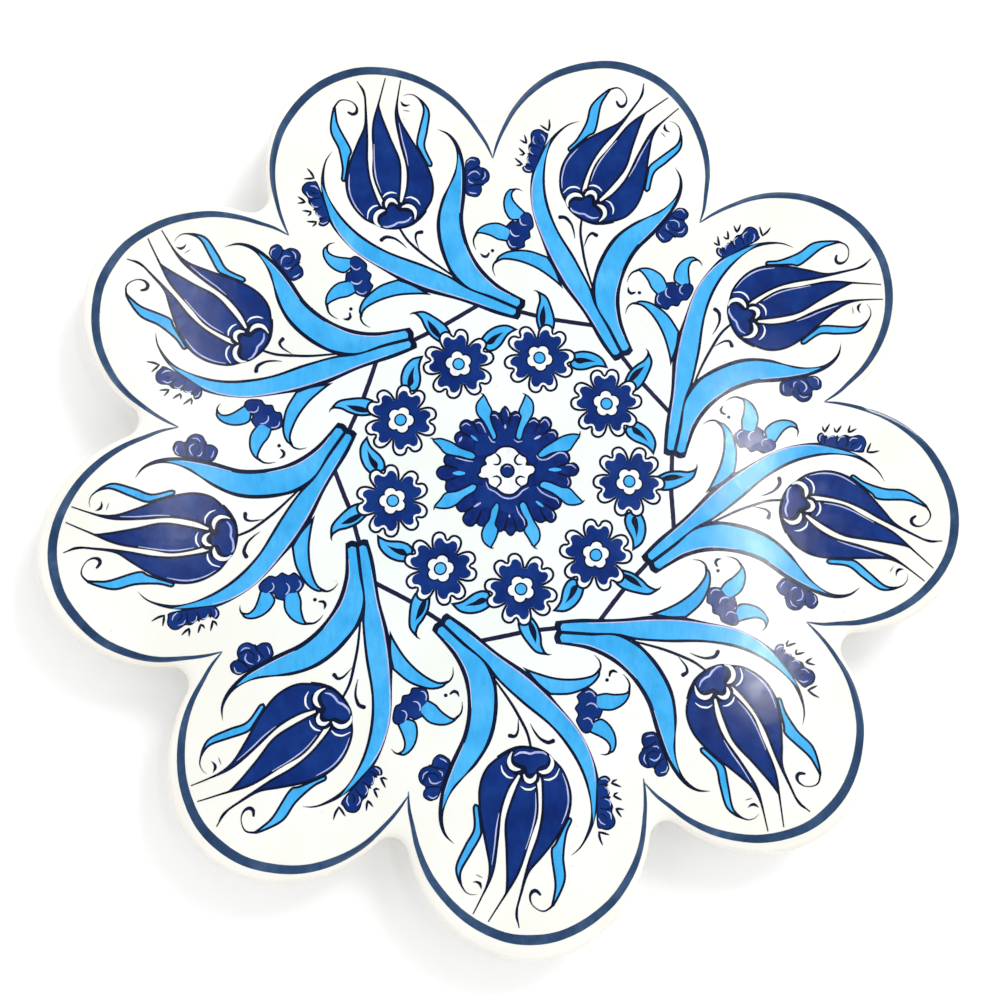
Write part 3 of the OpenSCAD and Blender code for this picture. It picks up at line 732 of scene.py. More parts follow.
def long_leaves():
    left_line, right_line, left, right, side_line, side, pale = (Drawing() for _ in range(7))
    left_line.area(outline(
        [(13, 41), (6, 47.6), (-3.8, 55.3), (-9.5, 62.5), (-15.3, 71.2), (-18.3, 80.5), (-17.6, 88),
            (-16, 93.5), (-13, 98), (-10, 100)],
        [(-13.3, 96.9), (-15.7, 91), (-15.4, 84.5), (-12.8, 76.5), (-7.5, 68.5), (0, 61.4), (6.4, 54.6),
            (9.6, 50), (15, 44.2), (19.9, 39.3)],
        [(19.4, 37.8), (18.2, 37)]))
    left.area(outline(
        [(13.4, 42), (6.7, 48), (-1.9, 55.2), (-8.3, 62), (-14.4, 70), (-17.5, 79), (-17.3, 86),
            (-16.4, 92.4)],
        [(-16, 85), (-14.8, 79.5), (-12, 73.4), (-7, 67), (0.4, 60), (5.4, 54.8), (8.8, 50.1),
            (13.9, 45), (18.8, 39.8)],
        [(18.3, 38.9), (17.4, 38.7)]))
    right_line.area(outline(
        [(15.2, 42.6), (10.2, 47.6), (7, 52.4), (6.2, 58), (6.5, 64), (8.3, 70.3), (12, 75.8),
            (16, 79.5), (19.6, 83.6), (21.4, 88), (21, 92.3), (18.8, 95.4)],
        [(21.4, 93), (22.6, 89), (21.9, 83.2), (19, 75.5), (15.4, 68.4), (14, 61), (14.6, 54.5),
            (17.2, 48), (22.2, 41.3)],
        [(21.4, 39.7), (19.6, 38.9)]))
    right.area(outline(
        [(14.5, 45.6), (9.6, 50.2), (7.3, 56), (7.2, 61), (8.2, 67), (10.6, 72.6), (15, 77.9),
            (18.8, 81.6), (21.6, 86.6)],
        [(20.6, 81.8), (17.9, 75.6), (14.4, 69), (13, 61.6), (13.5, 54), (16.2, 47.6), (20.8, 42)],
        [(20.4, 40.9), (19.4, 40.5)]))
    side_loop = outline(
        [(-4, 53.6), (-9, 55.2), (-14, 55.7), (-18.4, 55), (-20.3, 53.2)],
        [(-20.4, 55.2), (-18.5, 57.5), (-15.5, 59), (-12, 59.8), (-7.3, 59.6)],
        [(-4, 56.6), (-0.6, 52.1)])
    contoured(side_line, side, side_loop, 0.6)
    side_line.stroke([(-19.9, 54.8, 0.6), (-20.7, 53, 0.55), (-20.4, 51.3, 0.4), (-19.3, 49.9, 0.2)])
    # fine pale edges of the colour along the dark lines
    pale.stroke([(-17.4, 82, 0.1), (-17, 76.9, 0.3), (-14.3, 70, 0.35), (-8.2, 62, 0.35),
        (-1.8, 55.3, 0.35), (6.8, 48.1, 0.3), (12.6, 42.9, 0.1)])
    pale.stroke([(13, 62, 0.1), (13.4, 54.4, 0.25), (15.9, 48, 0.25), (19, 44, 0.1)])
    pale.stroke([(20.9, 83, 0.1), (18.6, 77.4, 0.2), (15.3, 70.8, 0.1)])
    paint("left_leaf_outlines", left_line, LINE_H - 0.01, NAVY)
    paint("right_leaf_outlines", right_line, LINE_H, NAVY)
    paint("left_leaves", left, FILL_H, SKY, ["left_leaves"])
    paint("right_leaves", right, FILL_H, SKY, ["right_leaves"])
    paint("side_leaf_outlines", side_line, LINE_H - 0.02, NAVY)
    paint("side_leaves", side, FILL_H - 0.045, SKY, ["side_leaves"])
    paint("leaf_highlights", pale, LIGHT_H, LILAC)


def side_bud():
    line, fill, petals, pale, dots = (Drawing() for _ in range(5))
    bud = ring([(-16.3, 70), (-14.8, 69.4), (-13.4, 66.6), (-14, 65), (-13.3, 63.3), (-14.4, 61.8),
        (-14, 60.3), (-15.5, 59), (-17.4, 58.2), (-19.6, 60.3), (-19.6, 62.9), (-20.8, 63.8), (-20.3, 65.2),
        (-19.6, 66.3), (-18.3, 66.6), (-18, 68.9)])
    contoured(line, fill, bud, 0.45)
    glints = [
        [(-17.6, 67.6, 0.15), (-17.3, 66.6, 0.35), (-16.4, 66, 0.3), (-15.4, 66.3, 0.1)],
        [(-19.2, 63.6, 0.15), (-18.6, 62.7, 0.4), (-17.4, 62.3, 0.35), (-16.4, 62.8, 0.1)],
        [(-18.8, 60.6, 0.15), (-18.3, 59.7, 0.35), (-17.3, 59.2, 0.3), (-16.4, 59.5, 0.1)]]
    for points in glints:
        pale.stroke(points)
    petal_loops = [
        outline(
            [(-19.9, 66.4), (-22, 68), (-23.3, 70.5), (-23.5, 73), (-22.7, 74.9), (-21, 75.5)],
            [(-21.7, 73.9), (-21, 72.4), (-19.5, 71.2), (-16.9, 69.8)],
            [(-16.8, 68.5), (-17.4, 67.2)]),
        outline(
            [(-22.3, 64.6), (-24.6, 64), (-26.6, 62.6), (-27.8, 60.6), (-28, 58.4)],
            [(-27, 60), (-24, 60.3), (-21.5, 59.9), (-18.7, 60.3)],
            [(-18.4, 62), (-18.9, 64)])]
    for loop in petal_loops:
        contoured(line, petals, grown(loop, 0.08), 0.55)
    line.stroke([(-21.6, 75.2, 0.6), (-20.6, 75.6, 0.45), (-19.3, 75.4, 0.2)])
    line.stroke([(-27.7, 59.4, 0.7), (-27.9, 58, 0.55), (-27.4, 56.6, 0.4), (-26.4, 55.3, 0.2)])
    dots.dot(-22.1, 56.5, 0.48)
    dots.stroke([(-24.9, 54.7, 0.3), (-24, 54.2, 0.75), (-23.1, 54.5, 0.8), (-22.8, 55.5, 0.5)])
    paint("bud_outlines", line, LINE_H - 0.03, NAVY)
    paint("side_buds", fill, FILL_H - 0.025, COBALT, ["side_buds"])
    paint("bud_petals", petals, FILL_H - 0.05, SKY, ["bud_petals"])
    paint("bud_highlights", pale, LIGHT_H - 0.02, LILAC)
    paint("bud_dots", dots, LINE_H, NAVY, ["bud_dots"])


def blossoms():
    line, left, right, pale, twigs, folds = (Drawing() for _ in range(6))
    left_loop = ring([(-17.2, 93), (-18.3, 93.8), (-20, 94.2), (-21.6, 93.3), (-22, 91.8), (-21.3, 89.8),
        (-21.6, 88.4), (-20.7, 86.3), (-21, 85), (-20.3, 83.3), (-21.4, 81.9), (-20.4, 80.8), (-18.8, 81),
        (-17.6, 82.6), (-17.4, 87)])
    right_loop = ring([(22.3, 83.6), (23.5, 84.4), (24.8, 84.5), (26.2, 83.4), (26.1, 81.9), (25.5, 81.1),
        (26.8, 80), (27.3, 78.2), (26.5, 76.5), (25.2, 75.9), (23.9, 75.6), (23.3, 74.2), (21.7, 73.1),
        (20, 73.8), (18.9, 75.4), (20.5, 79.5)])
    contoured(line, left, left_loop, 0.42)
    contoured(line, right, right_loop, 0.42)
    glints = [
        [(-20.9, 91.6, 0.1), (-20.8, 90.2, 0.35), (-20, 89.6, 0.1)],
        [(-19.3, 92.8, 0.1), (-18.2, 92.2, 0.35), (-17.7, 91.1, 0.1)],
        [(-20.9, 88.2, 0.1), (-20.8, 87.1, 0.35), (-19.6, 86.5, 0.1)],
        [(-20.6, 85.3, 0.1), (-20.6, 84.3, 0.35), (-19.8, 83.6, 0.1)],
        [(-20.9, 82.2, 0.1), (-20.1, 81.5, 0.35), (-18.9, 81.6, 0.1)],
        [(22.6, 83.3, 0.1), (23.8, 83.9, 0.3), (25, 83.2, 0.1)],
        [(21.6, 79.8, 0.1), (22.9, 80.3, 0.3), (24.1, 80, 0.4), (24.6, 78.8, 0.1)],
        [(21.2, 78.6, 0.1), (21.2, 77.8, 0.35), (22, 77.2, 0.1)],
        [(24.8, 77.2, 0.1), (25.8, 77.8, 0.3), (26.2, 79, 0.1)],
        [(19.9, 75.3, 0.1), (20.5, 74.7, 0.35), (21.6, 74.2, 0.1)]]
    for points in glints:
        pale.stroke(points)
    creases = [
        [(-21.3, 88.8, 0.5), (-19.8, 89.1, 0.45), (-18.2, 88.7, 0.25)],
        [(-20.9, 86.2, 0.5), (-19.6, 86.1, 0.4), (-18.4, 86.3, 0.2)],
        [(-20.5, 83.2, 0.5), (-19.5, 82.8, 0.4), (-18.3, 83.1, 0.2)],
        [(-19.8, 91.6, 0.2), (-19.2, 90.5, 0.4), (-18.2, 90.1, 0.2)],
        [(25.4, 81.2, 0.55), (23.6, 81, 0.5), (21.7, 81.3, 0.25)],
        [(24.3, 75.8, 0.55), (22.9, 76.4, 0.5), (20.6, 76.8, 0.25)],
        [(26.2, 80.2, 0.3), (24.8, 77.9, 0.35), (22.9, 77.9, 0.4), (22.2, 79, 0.15)]]
    for points in creases:
        folds.stroke(points, full=True)
    sprigs = [
        ((-17.6, 94.5), ((-18.3, 97.7), (-20.1, 95.3))),
        ((-22.3, 89.1), ((-23.5, 91.1), (-24.2, 89.4))),
        ((-21.9, 86), ((-23.8, 87), (-23, 85.2))),
        ((-21.6, 82.8), ((-23.9, 83.8), (-23, 82)))]
    for foot, ends in sprigs:
        for end in ends:
            mid = ((foot[0] + end[0]) / 2 + 0.2, (foot[1] + end[1]) / 2 - 0.1)
            twigs.stroke([(*foot, 0.4), (*mid, 0.65), (*end, 0.3)], 0.2)
    paint("blossom_outlines", line, LINE_H - 0.025, NAVY)
    paint("left_blossoms", left, FILL_H - 0.035, COBALT, ["left_blossoms"])
    paint("right_blossoms", right, FILL_H - 0.035, COBALT, ["right_blossoms"])
    paint("blossom_folds", folds, LIGHT_H - 0.05, NAVY)
    paint("blossom_highlights", pale, LIGHT_H - 0.02, LILAC)
    paint("blossom_sprigs", twigs, LINE_H, NAVY, ["blossom_sprigs"])


def border():
    line = Drawing()
    line.stroke([(-9.8, 42.4, 1.2), (-5.2, 42.7, 1.2)], 0.1)
    line.stroke([(-1.6, 42.9, 1.2), (4, 43.8, 1.2), (10.6, 44.9, 1.2)], 0.1)
    paint("border_lines", line, 0.005, BORDER, ["border_line"])


# ---- The ring of small flowers -------------------------------------------------------------------
FLOWER_PHASE = -2.3      # degrees from the lobe's axis to the flower
FLOWER_R = 31.7          # the flower's distance from the plate's axis
PETALS = 5
FIRST_PETAL = 12         # degrees from the outward direction to the first petal


def petal_ring(half, cx, cy):
    """Half of a petal, [(degrees from its axis, radius)], turned into a loop of five whole petals."""
    points = []
    for k in range(PETALS):
        axis = 90 - FIRST_PETAL - k * 360 / PETALS
        whole = [(axis + a, r) for a, r in reversed(half[1:])] + [(axis - a, r) for a, r in half]
        for degrees, r in whole:
            a = math.radians(degrees)
            points.append((cx + r * math.cos(a), cy + r * math.sin(a)))
    return points


def small_flowers():
    line, fill, band, eye, dot, leaf_line, leaf, slit = (Drawing() for _ in range(8))
    cx = FLOWER_R * math.sin(math.radians(FLOWER_PHASE))
    cy = FLOWER_R * math.cos(math.radians(FLOWER_PHASE))
    outer = [(0, 7.9), (4, 9), (10.5, 9.7), (19, 9.7), (26, 9), (31, 7.8), (34.5, 6.4), (36, 5.7)]
    pupil = [(0, 3.65), (20, 3.4), (36, 2.75)]
    flower = ring(petal_ring(outer, cx, cy), 0.4)
    line.area(flower)
    band.area(inset(flower, 0.64))
    # the blue stops short of the petals' ends and leaves a white crescent on each
    blue = []
    for x, y in inset(flower, 0.68):
        r = math.hypot(x - cx, y - cy)
        short = 1 - 1.1 * min(1.0, max(0.0, (r - 6.2) / 2.4)) / r
        blue.append((cx + (x - cx) * short, cy + (y - cy) * short))
    fill.area(blue, ring(petal_ring([(a, r - 0.1) for a, r in pupil], cx, cy), 0.4))
    eye.area(
        ring(petal_ring([(a, r + 0.25) for a, r in pupil], cx, cy), 0.4),
        ring(petal_ring([(a, r - 0.2) for a, r in pupil], cx, cy), 0.4))
    eye.dot(cx, cy, 1.72)
    dot.dot(cx, cy, 1.3)
    top_leaf = outline(
        [(-5.3, 41.4), (-6, 44.5), (-6.1, 47), (-7.2, 49.5)],
        [(-4.2, 48.7), (-1.7, 45.6), (-0.2, 42.8), (0.2, 40.6)],
        [(-1.6, 38.6), (-3.4, 38.4)])
    side_leaf = outline(
        [(9, 37.2), (12, 37.7), (15, 36.9), (17.2, 34.5)],
        [(14.2, 34), (11.3, 32.1), (9, 31.4), (7.2, 31.8)],
        [(6.4, 33.8), (6.6, 35.8)])
    contoured(leaf_line, leaf, top_leaf, 0.65)
    contoured(leaf_line, leaf, side_leaf, 0.65)
    leaf_line.stroke([(-6.6, 48.9, 0.7), (-7.3, 49.3, 0.5), (-8.2, 49.2, 0.2)])
    slit.area(outline(
        [(-4.7, 43.6), (-4.2, 41.6), (-2.9, 39.4)],
        [(-2.7, 41.4), (-3.2, 43.6), (-4.4, 46.2)]))
    slit.area(outline([(8.6, 34.9), (10.6, 35.4), (13.4, 35.3)], [(11, 34.4), (9.2, 33.4), (7.4, 34)]))
    paint("flower_outlines", line, LINE_H, NAVY, ["flower_outlines"])
    paint("flower_bands", band, LINE_H + 0.02, RESERVE)
    paint("flower_petals", fill, FILL_H, COBALT, ["flower_petals"])
    paint("flower_eye_lines", eye, LIGHT_H - 0.015, NAVY)
    paint("flower_eyes", dot, LIGHT_H, SKY, ["flower_eyes"])
    paint("flower_leaf_outlines", leaf_line, LINE_H - 0.03, NAVY)
    paint("flower_leaves", leaf, LINE_H - 0.015, SKY, ["flower_leaves"])
    paint("flower_leaf_slits", slit, LINE_H - 0.003, NAVY)


# ---- The centre rosette ------------------------------------------------------------------------
def rosette():
    line, fill, heart, leaf_line, leaf, drops = (Drawing() for _ in range(6))
    scrolls, medallion, dot, pale, folds = (Drawing() for _ in range(5))
    florets = [
        [
            [(-4.9, 15.9), (-4.2, 16.2), (-3.3, 15.9), (-2.5, 15.4)],
            [(-2.5, 15.4), (-2.3, 16.3), (-1.6, 17.2), (-1.1, 17.5), (-0.5, 17.1), (0.1, 16.2),
                (0.4, 15.4)],
            [(0.4, 15.4), (1.2, 16.1), (2.2, 16.1), (2.6, 15.6)]],
        [
            [(5, 13.6), (5.8, 14.3), (6.9, 14.4), (8, 13.4)],
            [(8, 13.4), (8.6, 14.4), (9.6, 14.7), (10.7, 14.2), (11.3, 13.1), (11.3, 12), (10.8, 11.2)],
            [(10.8, 11.2), (12, 11.2), (12.9, 10.3), (13, 9.2), (12.3, 8)]],
        [
            [(14.9, 5.4), (15.8, 4.7), (16.2, 3.6), (16, 2.5), (15.6, 1.9)],
            [(15.6, 1.9), (16.8, 2.3), (17.9, 1.7), (18.5, 0.4), (18, -0.9), (17, -1.6), (15.8, -1.6)],
            [(15.8, -1.6), (16.3, -2.6), (16.3, -3.8), (15.4, -5.1)]],
        [
            [(13.4, -7.6), (13.7, -8.6), (13.2, -9.8), (12.2, -10.5), (11.5, -10.5)],
            [(11.5, -10.5), (12.2, -11.6), (12.2, -12.8), (11.3, -13.8), (10.2, -13.9), (9.5, -13.2)],
            [(9.5, -13.2), (8.6, -13.9), (7.4, -13.9), (6.4, -13.2)]],
        [
            [(4.2, -15.4), (3.3, -16.3), (2.2, -16.4), (1.6, -15.9)],
            [(1.6, -15.9), (1, -17), (0.2, -17.5), (-0.7, -17), (-1.5, -15.8)],
            [(-1.5, -15.8), (-2.4, -16.4), (-3.3, -16.3), (-4.2, -15.4)]],
        [
            [(-6.2, -14.6), (-7.2, -15), (-8.2, -14.7), (-8.8, -13.9)],
            [(-8.8, -13.9), (-9.6, -14.9), (-11, -14.9), (-12.1, -14), (-12.5, -12.7), (-12.1, -11.6),
                (-11.6, -11.1)],
            [(-11.6, -11.1), (-13, -11.2), (-14, -10.3), (-14.3, -9.2), (-13.8, -8.6)]],
        [
            [(-16.3, -6.2), (-17, -5.2), (-17.1, -4), (-16.7, -2.9)],
            [(-16.7, -2.9), (-18.1, -2.7), (-19.2, -1.6), (-19.4, -0.3), (-18.6, 0.9), (-17.6, 1.3),
                (-16.9, 1.3)],
            [(-16.9, 1.3), (-17.5, 2.4), (-17.3, 3.7), (-16.6, 4.4)]],
        [
            [(-14.3, 7.4), (-14.7, 8.4), (-14.4, 9.6), (-13.6, 10.4), (-12.9, 10.4)],
            [(-12.9, 10.4), (-13.3, 11.6), (-12.9, 12.9), (-11.8, 13.7), (-10.6, 13.6), (-9.8, 13)],
            [(-9.8, 13), (-9, 13.8), (-7.8, 13.9), (-6.8, 13.2)]]]
    wreath = [p for floret in florets for lobe in floret for p in curve(lobe, 0.3)]
    contoured(line, fill, wreath, 0.5)
    # the dark lines that part the lobes of each floret, from the notch in towards its heart
    for (_, middle, _) in florets:
        for x, y in (middle[0], middle[-1]):
            hx, hy = ((middle[0][k] + middle[-1][k]) / 2 * 0.62 for k in (0, 1))
            bend = ((x * 0.8 + hx * 0.2) * 0.97, (y * 0.8 + hy * 0.2) * 0.97)
            folds.stroke(
                [(x, y, 0.7), (*bend, 0.65), (x * 0.45 + hx * 0.55, y * 0.45 + hy * 0.55, 0.25)],
                full=True)
        mx, my = middle[len(middle) // 2]
        heart.area(ring([(mx * 0.36, my * 0.36), (mx * 0.5 - my * 0.22, my * 0.5 + mx * 0.22),
            (mx * 0.66, my * 0.66), (mx * 0.5 + my * 0.22, my * 0.5 - mx * 0.22)]))
    centre = outline(
        [(-2.6, 6), (-0.7, 6.4), (1.2, 6), (2.5, 4.7)],
        [(3.3, 4.1), (4.4, 3.5), (4.7, 2.4), (4.4, 1.5)],
        [(5.9, 1.5), (6.7, 0.8), (6.7, -0.3), (6, -1), (4.9, -1.4)],
        [(5, -2.6), (4.4, -3.8), (3.2, -4.3)],
        [(2.5, -5.1), (1.2, -6.2), (-0.5, -6.5), (-2.2, -6), (-3.5, -4.9)],
        [(-4.8, -4.4), (-5.7, -3.5), (-5.9, -2.3)],
        [(-7.1, -2.3), (-8.1, -1.8), (-8.4, -1.1), (-7.8, -0.6)],
        [(-7.7, 0.4), (-7.1, 1.2), (-6.2, 1.6)],
        [(-6.6, 2.6), (-6.1, 3.6), (-5, 4.1), (-3.8, 4.8)])
    medallion.area(centre)
    line_round = [(p[0], p[1], 0.55) for p in centre[::2]]
    scrolls.stroke(line_round + line_round[:1], step=0.4)
    leaves = [
        (
            [(-5.6, 11.2), (-6.8, 13.4), (-8.3, 15.4), (-8.4, 17.8), (-6.8, 20)],
            [(-5.9, 18), (-5, 16.2), (-5.3, 14.4), (-4.8, 12.2), (-3.8, 9.6), (-3.8, 8.6), (-4.3, 8.3)]),
        (
            [(2, 8.9), (2.1, 10.2), (2.9, 12.8), (3.4, 14.6), (2.9, 16), (3.8, 18.2), (4.6, 20.2)],
            [(6, 18.4), (6.1, 15.8), (5, 13.6), (3.8, 11.4), (3.1, 8.8), (2.6, 8.4)]),
        (
            [(9.2, 5.8), (11.7, 7.5), (14.2, 9), (16.8, 9.6), (18.4, 9.4)],
            [(17, 7.4), (15.6, 5.6), (13.2, 5.3), (11, 4.8), (9, 3.8), (8, 3.7), (7.7, 4.3)]),
        (
            [(9, -3.1), (11, -3.6), (13.6, -4.7), (15.6, -5), (17, -6.4), (18.9, -8.4)],
            [(17, -8.9), (15, -8.7), (13.4, -7.4), (11.4, -5.9), (9.2, -4.8), (8.2, -4.3), (8.2, -3.6)]),
        (
            [(4, -8.9), (4.9, -11), (6, -13.4), (7.4, -16), (7.4, -18.4), (6.2, -20)],
            [(5, -17.8), (3.9, -15.9), (4.6, -14.6), (4.4, -13.2), (3.4, -11.6), (2.7, -9.4),
                (3.3, -8.5)]),
        (
            [(-3, -9.6), (-3.5, -12), (-4.1, -14.3), (-3.4, -15.8), (-4, -18), (-5.2, -20.2)],
            [(-6.7, -18.8), (-7.1, -16.8), (-6.4, -14.8), (-5.2, -13), (-4.7, -10.6), (-3.4, -8.8)]),
        (
            [(-9.4, -5.4), (-12, -7), (-14, -8.8), (-16, -9.8), (-18, -9.9), (-19.4, -9.6)],
            [(-18, -8), (-16.7, -6.4), (-14, -5.9), (-11.5, -4.8), (-9.7, -3.9), (-8.9, -4.3)]),
        (
            [(-9.8, 4.6), (-13, 5.8), (-15.5, 7.3), (-18, 8.1), (-19.9, 8)],
            [(-18.3, 6.4), (-17, 4.9), (-15.2, 4.3), (-13, 3.9), (-10.6, 3.2), (-9.4, 3.2), (-9.1, 3.7)])]
    for root_side, tip_side in leaves:
        loop = outline(root_side, tip_side, step=0.4)
        leaf_line.area(grown(loop, 0.5))
        leaf.area(loop)
        x, y = root_side[-1]
        bx, by = tip_side[0]
        leaf_line.stroke([
            (x, y, 0.6),
            (x + (x - bx) * 0.25, y + (y - by) * 0.25, 0.45),
            (x + (x - bx) * 0.5 - (y - by) * 0.15, y + (y - by) * 0.5 + (x - bx) * 0.15, 0.2)])
    scroll_lines = [
        [(-3.6, 4.4, 0.4), (-2.7, 3.5, 0.6), (-2.5, 2.3, 0.6), (-3.2, 1.5, 0.55), (-4.3, 1.6, 0.3)],
        [(2.4, 4.3, 0.4), (1.6, 3.5, 0.6), (1.4, 2.4, 0.6), (2.2, 1.6, 0.55), (3.3, 1.7, 0.3)],
        [(-3.4, -4.5, 0.4), (-2.4, -3.4, 0.6), (-2.5, -2.2, 0.6), (-3.5, -1.6, 0.55), (-4.5, -1.9, 0.3)],
        [(2.9, -4.2, 0.4), (1.8, -3.3, 0.6), (1.8, -2.2, 0.6), (2.8, -1.6, 0.55), (3.9, -1.9, 0.3)]]
    for points in scroll_lines:
        scrolls.stroke(points)
    glints = [
        [(5.3, 13, 0.1), (6.5, 13.6, 0.35), (7.6, 12.9, 0.1)],
        [(8.3, 12.8, 0.1), (9.4, 13.8, 0.4), (10.4, 12.8, 0.35), (10.5, 12, 0.1)],
        [(10.4, 10.2, 0.1), (11.7, 10.3, 0.4), (12.3, 9.3, 0.1)],
        [(7.1, 4, 0.15), (7.9, 3, 0.4), (9.6, 2.9, 0.35), (11.5, 3.9, 0.35), (13.2, 4.8, 0.4),
            (14.7, 4.5, 0.35), (15.4, 3.3, 0.1)],
        [(14.9, 1.4, 0.1), (16.4, 1.5, 0.4), (17.5, 0.6, 0.1)],
        [(15.2, -2, 0.1), (15.6, -3.2, 0.3), (15.2, -4, 0.1)],
        [(7.2, -4.4, 0.1), (8.4, -5.8, 0.4), (10.5, -7, 0.35), (12.3, -7.7, 0.35), (12.8, -8.8, 0.1)],
        [(11, -10.9, 0.1), (11.5, -11.8, 0.35), (11.3, -12.7, 0.1)],
        [(1.6, -9.5, 0.1), (2.2, -11.3, 0.35), (3.5, -13.2, 0.35), (3.8, -14.6, 0.1)],
        [(-6.3, -3.3, 0.15), (-5.6, -4.9, 0.35), (-3.8, -5.8, 0.35), (-2, -7.1, 0.4), (0, -7.5, 0.4),
            (2, -6.8, 0.4), (3.4, -5.4, 0.35), (4.9, -4.6, 0.15)],
        [(-12.6, 11.8, 0.1), (-11.5, 12.6, 0.35), (-10.4, 12, 0.1)],
        [(-8.9, 12.6, 0.1), (-7.8, 12.8, 0.35), (-7, 11.6, 0.3), (-6.3, 10, 0.1)],
        [(-5.6, 9, 0.1), (-4.7, 7.6, 0.4), (-3.8, 7.5, 0.1)],
        [(-14.2, 3.4, 0.1), (-11.8, 2.7, 0.3), (-9.6, 2.3, 0.1)],
        [(1.2, 8.3, 0.1), (2.2, 7.6, 0.4), (3.4, 7.9, 0.1)],
        [(-4.6, 14.8, 0.1), (-3.7, 14.9, 0.3), (-3, 13.9, 0.1)],
        [(-0.8, 16.4, 0.1), (-0.3, 15.6, 0.3), (-0.2, 14.6, 0.1)],
        [(1.2, 14.8, 0.1), (2.2, 15.1, 0.3), (2.8, 14.6, 0.1)],
        [(-1.4, 0.8, 0.1), (-0.6, 1.2, 0.3), (0.3, 0.8, 0.1)]]
    for points in glints:
        pale.stroke(points)
    long_drops = [
        ((-13.3, -0.8), (1.3, 0), 1.2),
        ((12, 0.2), (1.4, 0), 1),
        ((7.8, -8.9), (0.8, -0.6), 0.8),
        ((-9.3, 8.6), (0.7, -0.6), 0.7)]
    for (x, y), (dx, dy), w in long_drops:
        drops.stroke([(x - dx, y - dy, w * 0.5), (x, y, w), (x + dx, y + dy, w * 0.5)])
    small_glints = [
        ((7.5, 8.9), (0.7, 0.4), 0.7),
        ((-8.5, -9.2), (0.8, 0.5), 0.6),
        ((-1.1, 11.8), (0, 0.4), 0.7),
        ((-0.2, -12.2), (0, 0.3), 0.5),
        ((-12.9, 8.3), (0.3, 0.5), 0.7)]
    for (x, y), (dx, dy), w in small_glints:
        pale.stroke([(x - dx, y - dy, w * 0.5), (x, y, w), (x + dx, y + dy, w * 0.5)])
    dot_x, dot_y = -0.6, -0.1
    dot_line = Drawing().dot(dot_x, dot_y, 2)
    dot.dot(dot_x, dot_y, 1.5)
    turn = [ROSETTE_TURN]
    paint("rosette_outlines", line, LINE_H, NAVY, turns=turn)
    paint("rosette_petals", fill, LINE_H + 0.012, DEEP, ["rosette_petals"], turn)
    paint("rosette_hearts", heart, LINE_H + 0.018, COBALT, turns=turn)
    paint("rosette_folds", folds, FILL_H - 0.015, NAVY, turns=turn)
    paint("rosette_medallion", medallion, LINE_H + 0.025, RESERVE, turns=turn)
    paint("rosette_scrolls", scrolls, FILL_H - 0.01, NAVY, ["rosette_scrolls"], turn)
    paint("rosette_highlights", pale, FILL_H + 0.02, LILAC, turns=turn)
    paint("rosette_drops", drops, FILL_H + 0.01, SKY, turns=turn)
    paint("rosette_leaf_outlines", leaf_line, FILL_H, NAVY, turns=turn)
    paint("rosette_leaves", leaf, FILL_H + 0.015, SKY, ["rosette_leaves"], turn)
    paint("rosette_dot_line", dot_line, FILL_H - 0.005, NAVY, turns=turn)
    paint("rosette_dot", dot, FILL_H + 0.01, COBALT, ["rosette_dot"], turn)


rim()
border()
tulip()
long_leaves()
side_bud()
blossoms()
small_flowers()
rosette()


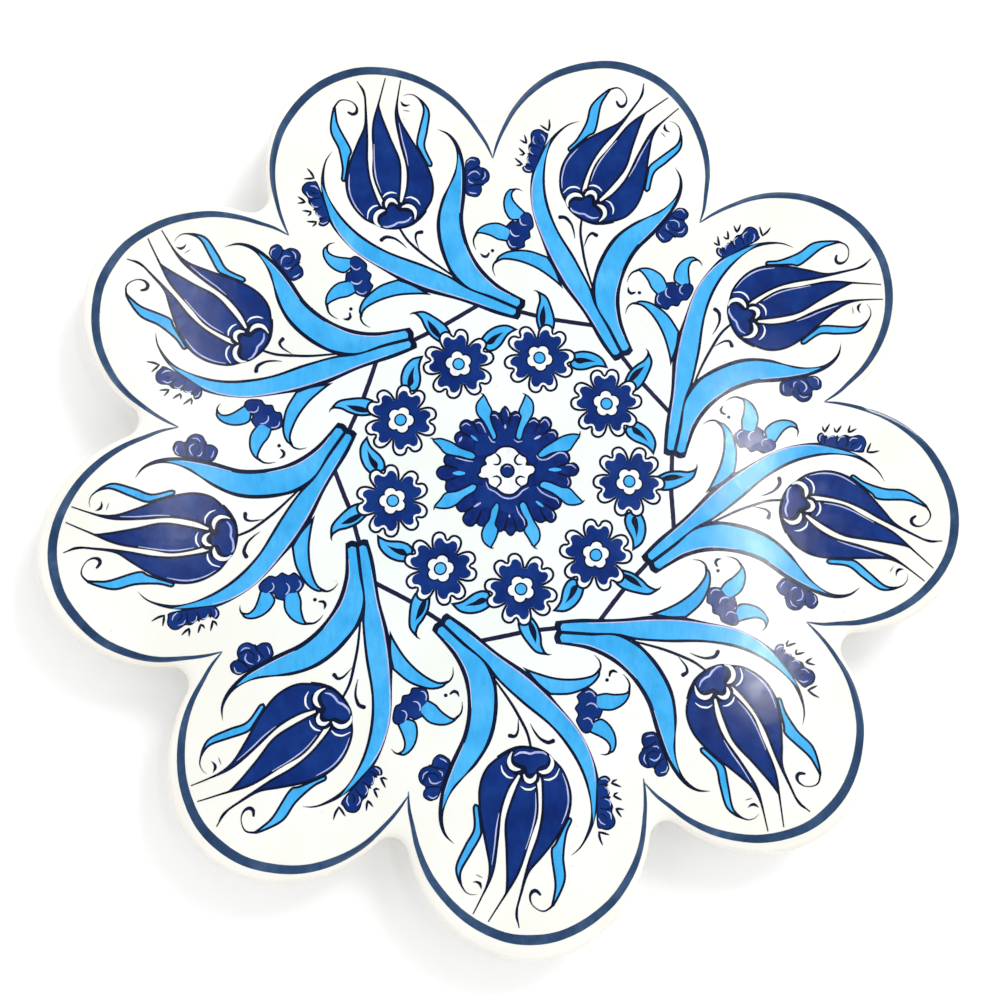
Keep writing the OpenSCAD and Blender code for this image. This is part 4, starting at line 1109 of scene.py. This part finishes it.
# ---- Studio ------------------------------------------------------------------------------------
def floor():
    nodes = Nodes("studio_floor")
    tone = nodes.ramp(nodes.noise(3, 2), (0.3, 0.93), (0.7, 0.96))
    nodes.link(tone, nodes.shader.inputs["Base Color"])
    nodes.set(Roughness=0.9, Emission_Color=(1, 1, 1, 1), Emission_Strength=0.08)
    mesh = bpy.data.meshes.new("floor")
    side, cells = 3.0, 12
    level = -0.0001
    marks = [side * (i / cells - 0.5) for i in range(cells + 1)]
    verts = [(x, y, level) for y in marks for x in marks]
    row = cells + 1
    faces = [[j * row + i, j * row + i + 1, (j + 1) * row + i + 1, (j + 1) * row + i]
             for j in range(cells) for i in range(cells)]
    mesh.from_pydata(verts, [], faces)
    mesh.materials.append(nodes.material)
    obj = bpy.data.objects.new("floor", mesh)
    bpy.context.scene.collection.objects.link(obj)


def soft_box(name, place, size, radiance, along=(0, 1, 0)):
    """A rectangular light in metres that faces the plate, with its first side laid along a direction."""
    data = bpy.data.lights.new(name, "AREA")
    data.shape = "RECTANGLE"
    data.size, data.size_y = size
    data.energy = radiance * math.pi * size[0] * size[1]
    away = Vector(place).normalized()
    side = (Vector(along) - away * away.dot(Vector(along))).normalized()
    lamp = bpy.data.objects.new(name, data)
    lamp.location = place
    lamp.rotation_euler = Matrix((side, away.cross(side), away)).transposed().to_euler()
    bpy.context.scene.collection.objects.link(lamp)


def studio_light():
    """Bright walls under a dim ceiling, so that the face shows its colours and few reflections."""
    world = bpy.data.worlds.new("studio")
    world.use_nodes = True
    tree = world.node_tree
    coord = tree.nodes.new("ShaderNodeTexCoord")
    split = tree.nodes.new("ShaderNodeSeparateXYZ")
    ramp = tree.nodes.new("ShaderNodeValToRGB")
    tree.links.new(coord.outputs["Generated"], split.inputs["Vector"])
    tree.links.new(split.outputs["Z"], ramp.inputs["Fac"])
    stops = ramp.color_ramp.elements
    stops[0].position, stops[0].color = 0.76, (1.0, 1.0, 1.0, 1)
    stops[1].position, stops[1].color = 0.86, (0.1, 0.1, 0.1, 1)
    tree.links.new(ramp.outputs["Color"], tree.nodes["Background"].inputs["Color"])
    tree.nodes["Background"].inputs["Strength"].default_value = 1.35
    bpy.context.scene.world = world
    soft_box("key", (1.2, 1.2, 1.4), (0.6, 0.6), 13.5)
    soft_box("strip_right", (0.332, 0.09, 1.0), (0.36, 0.026), 26, (0.02, 1, 0))
    soft_box("strip_left", (-0.286, 0.27, 1.0), (0.32, 0.05), 4.5)
    bpy.context.scene.view_settings.view_transform = "Standard"


floor()
studio_light()
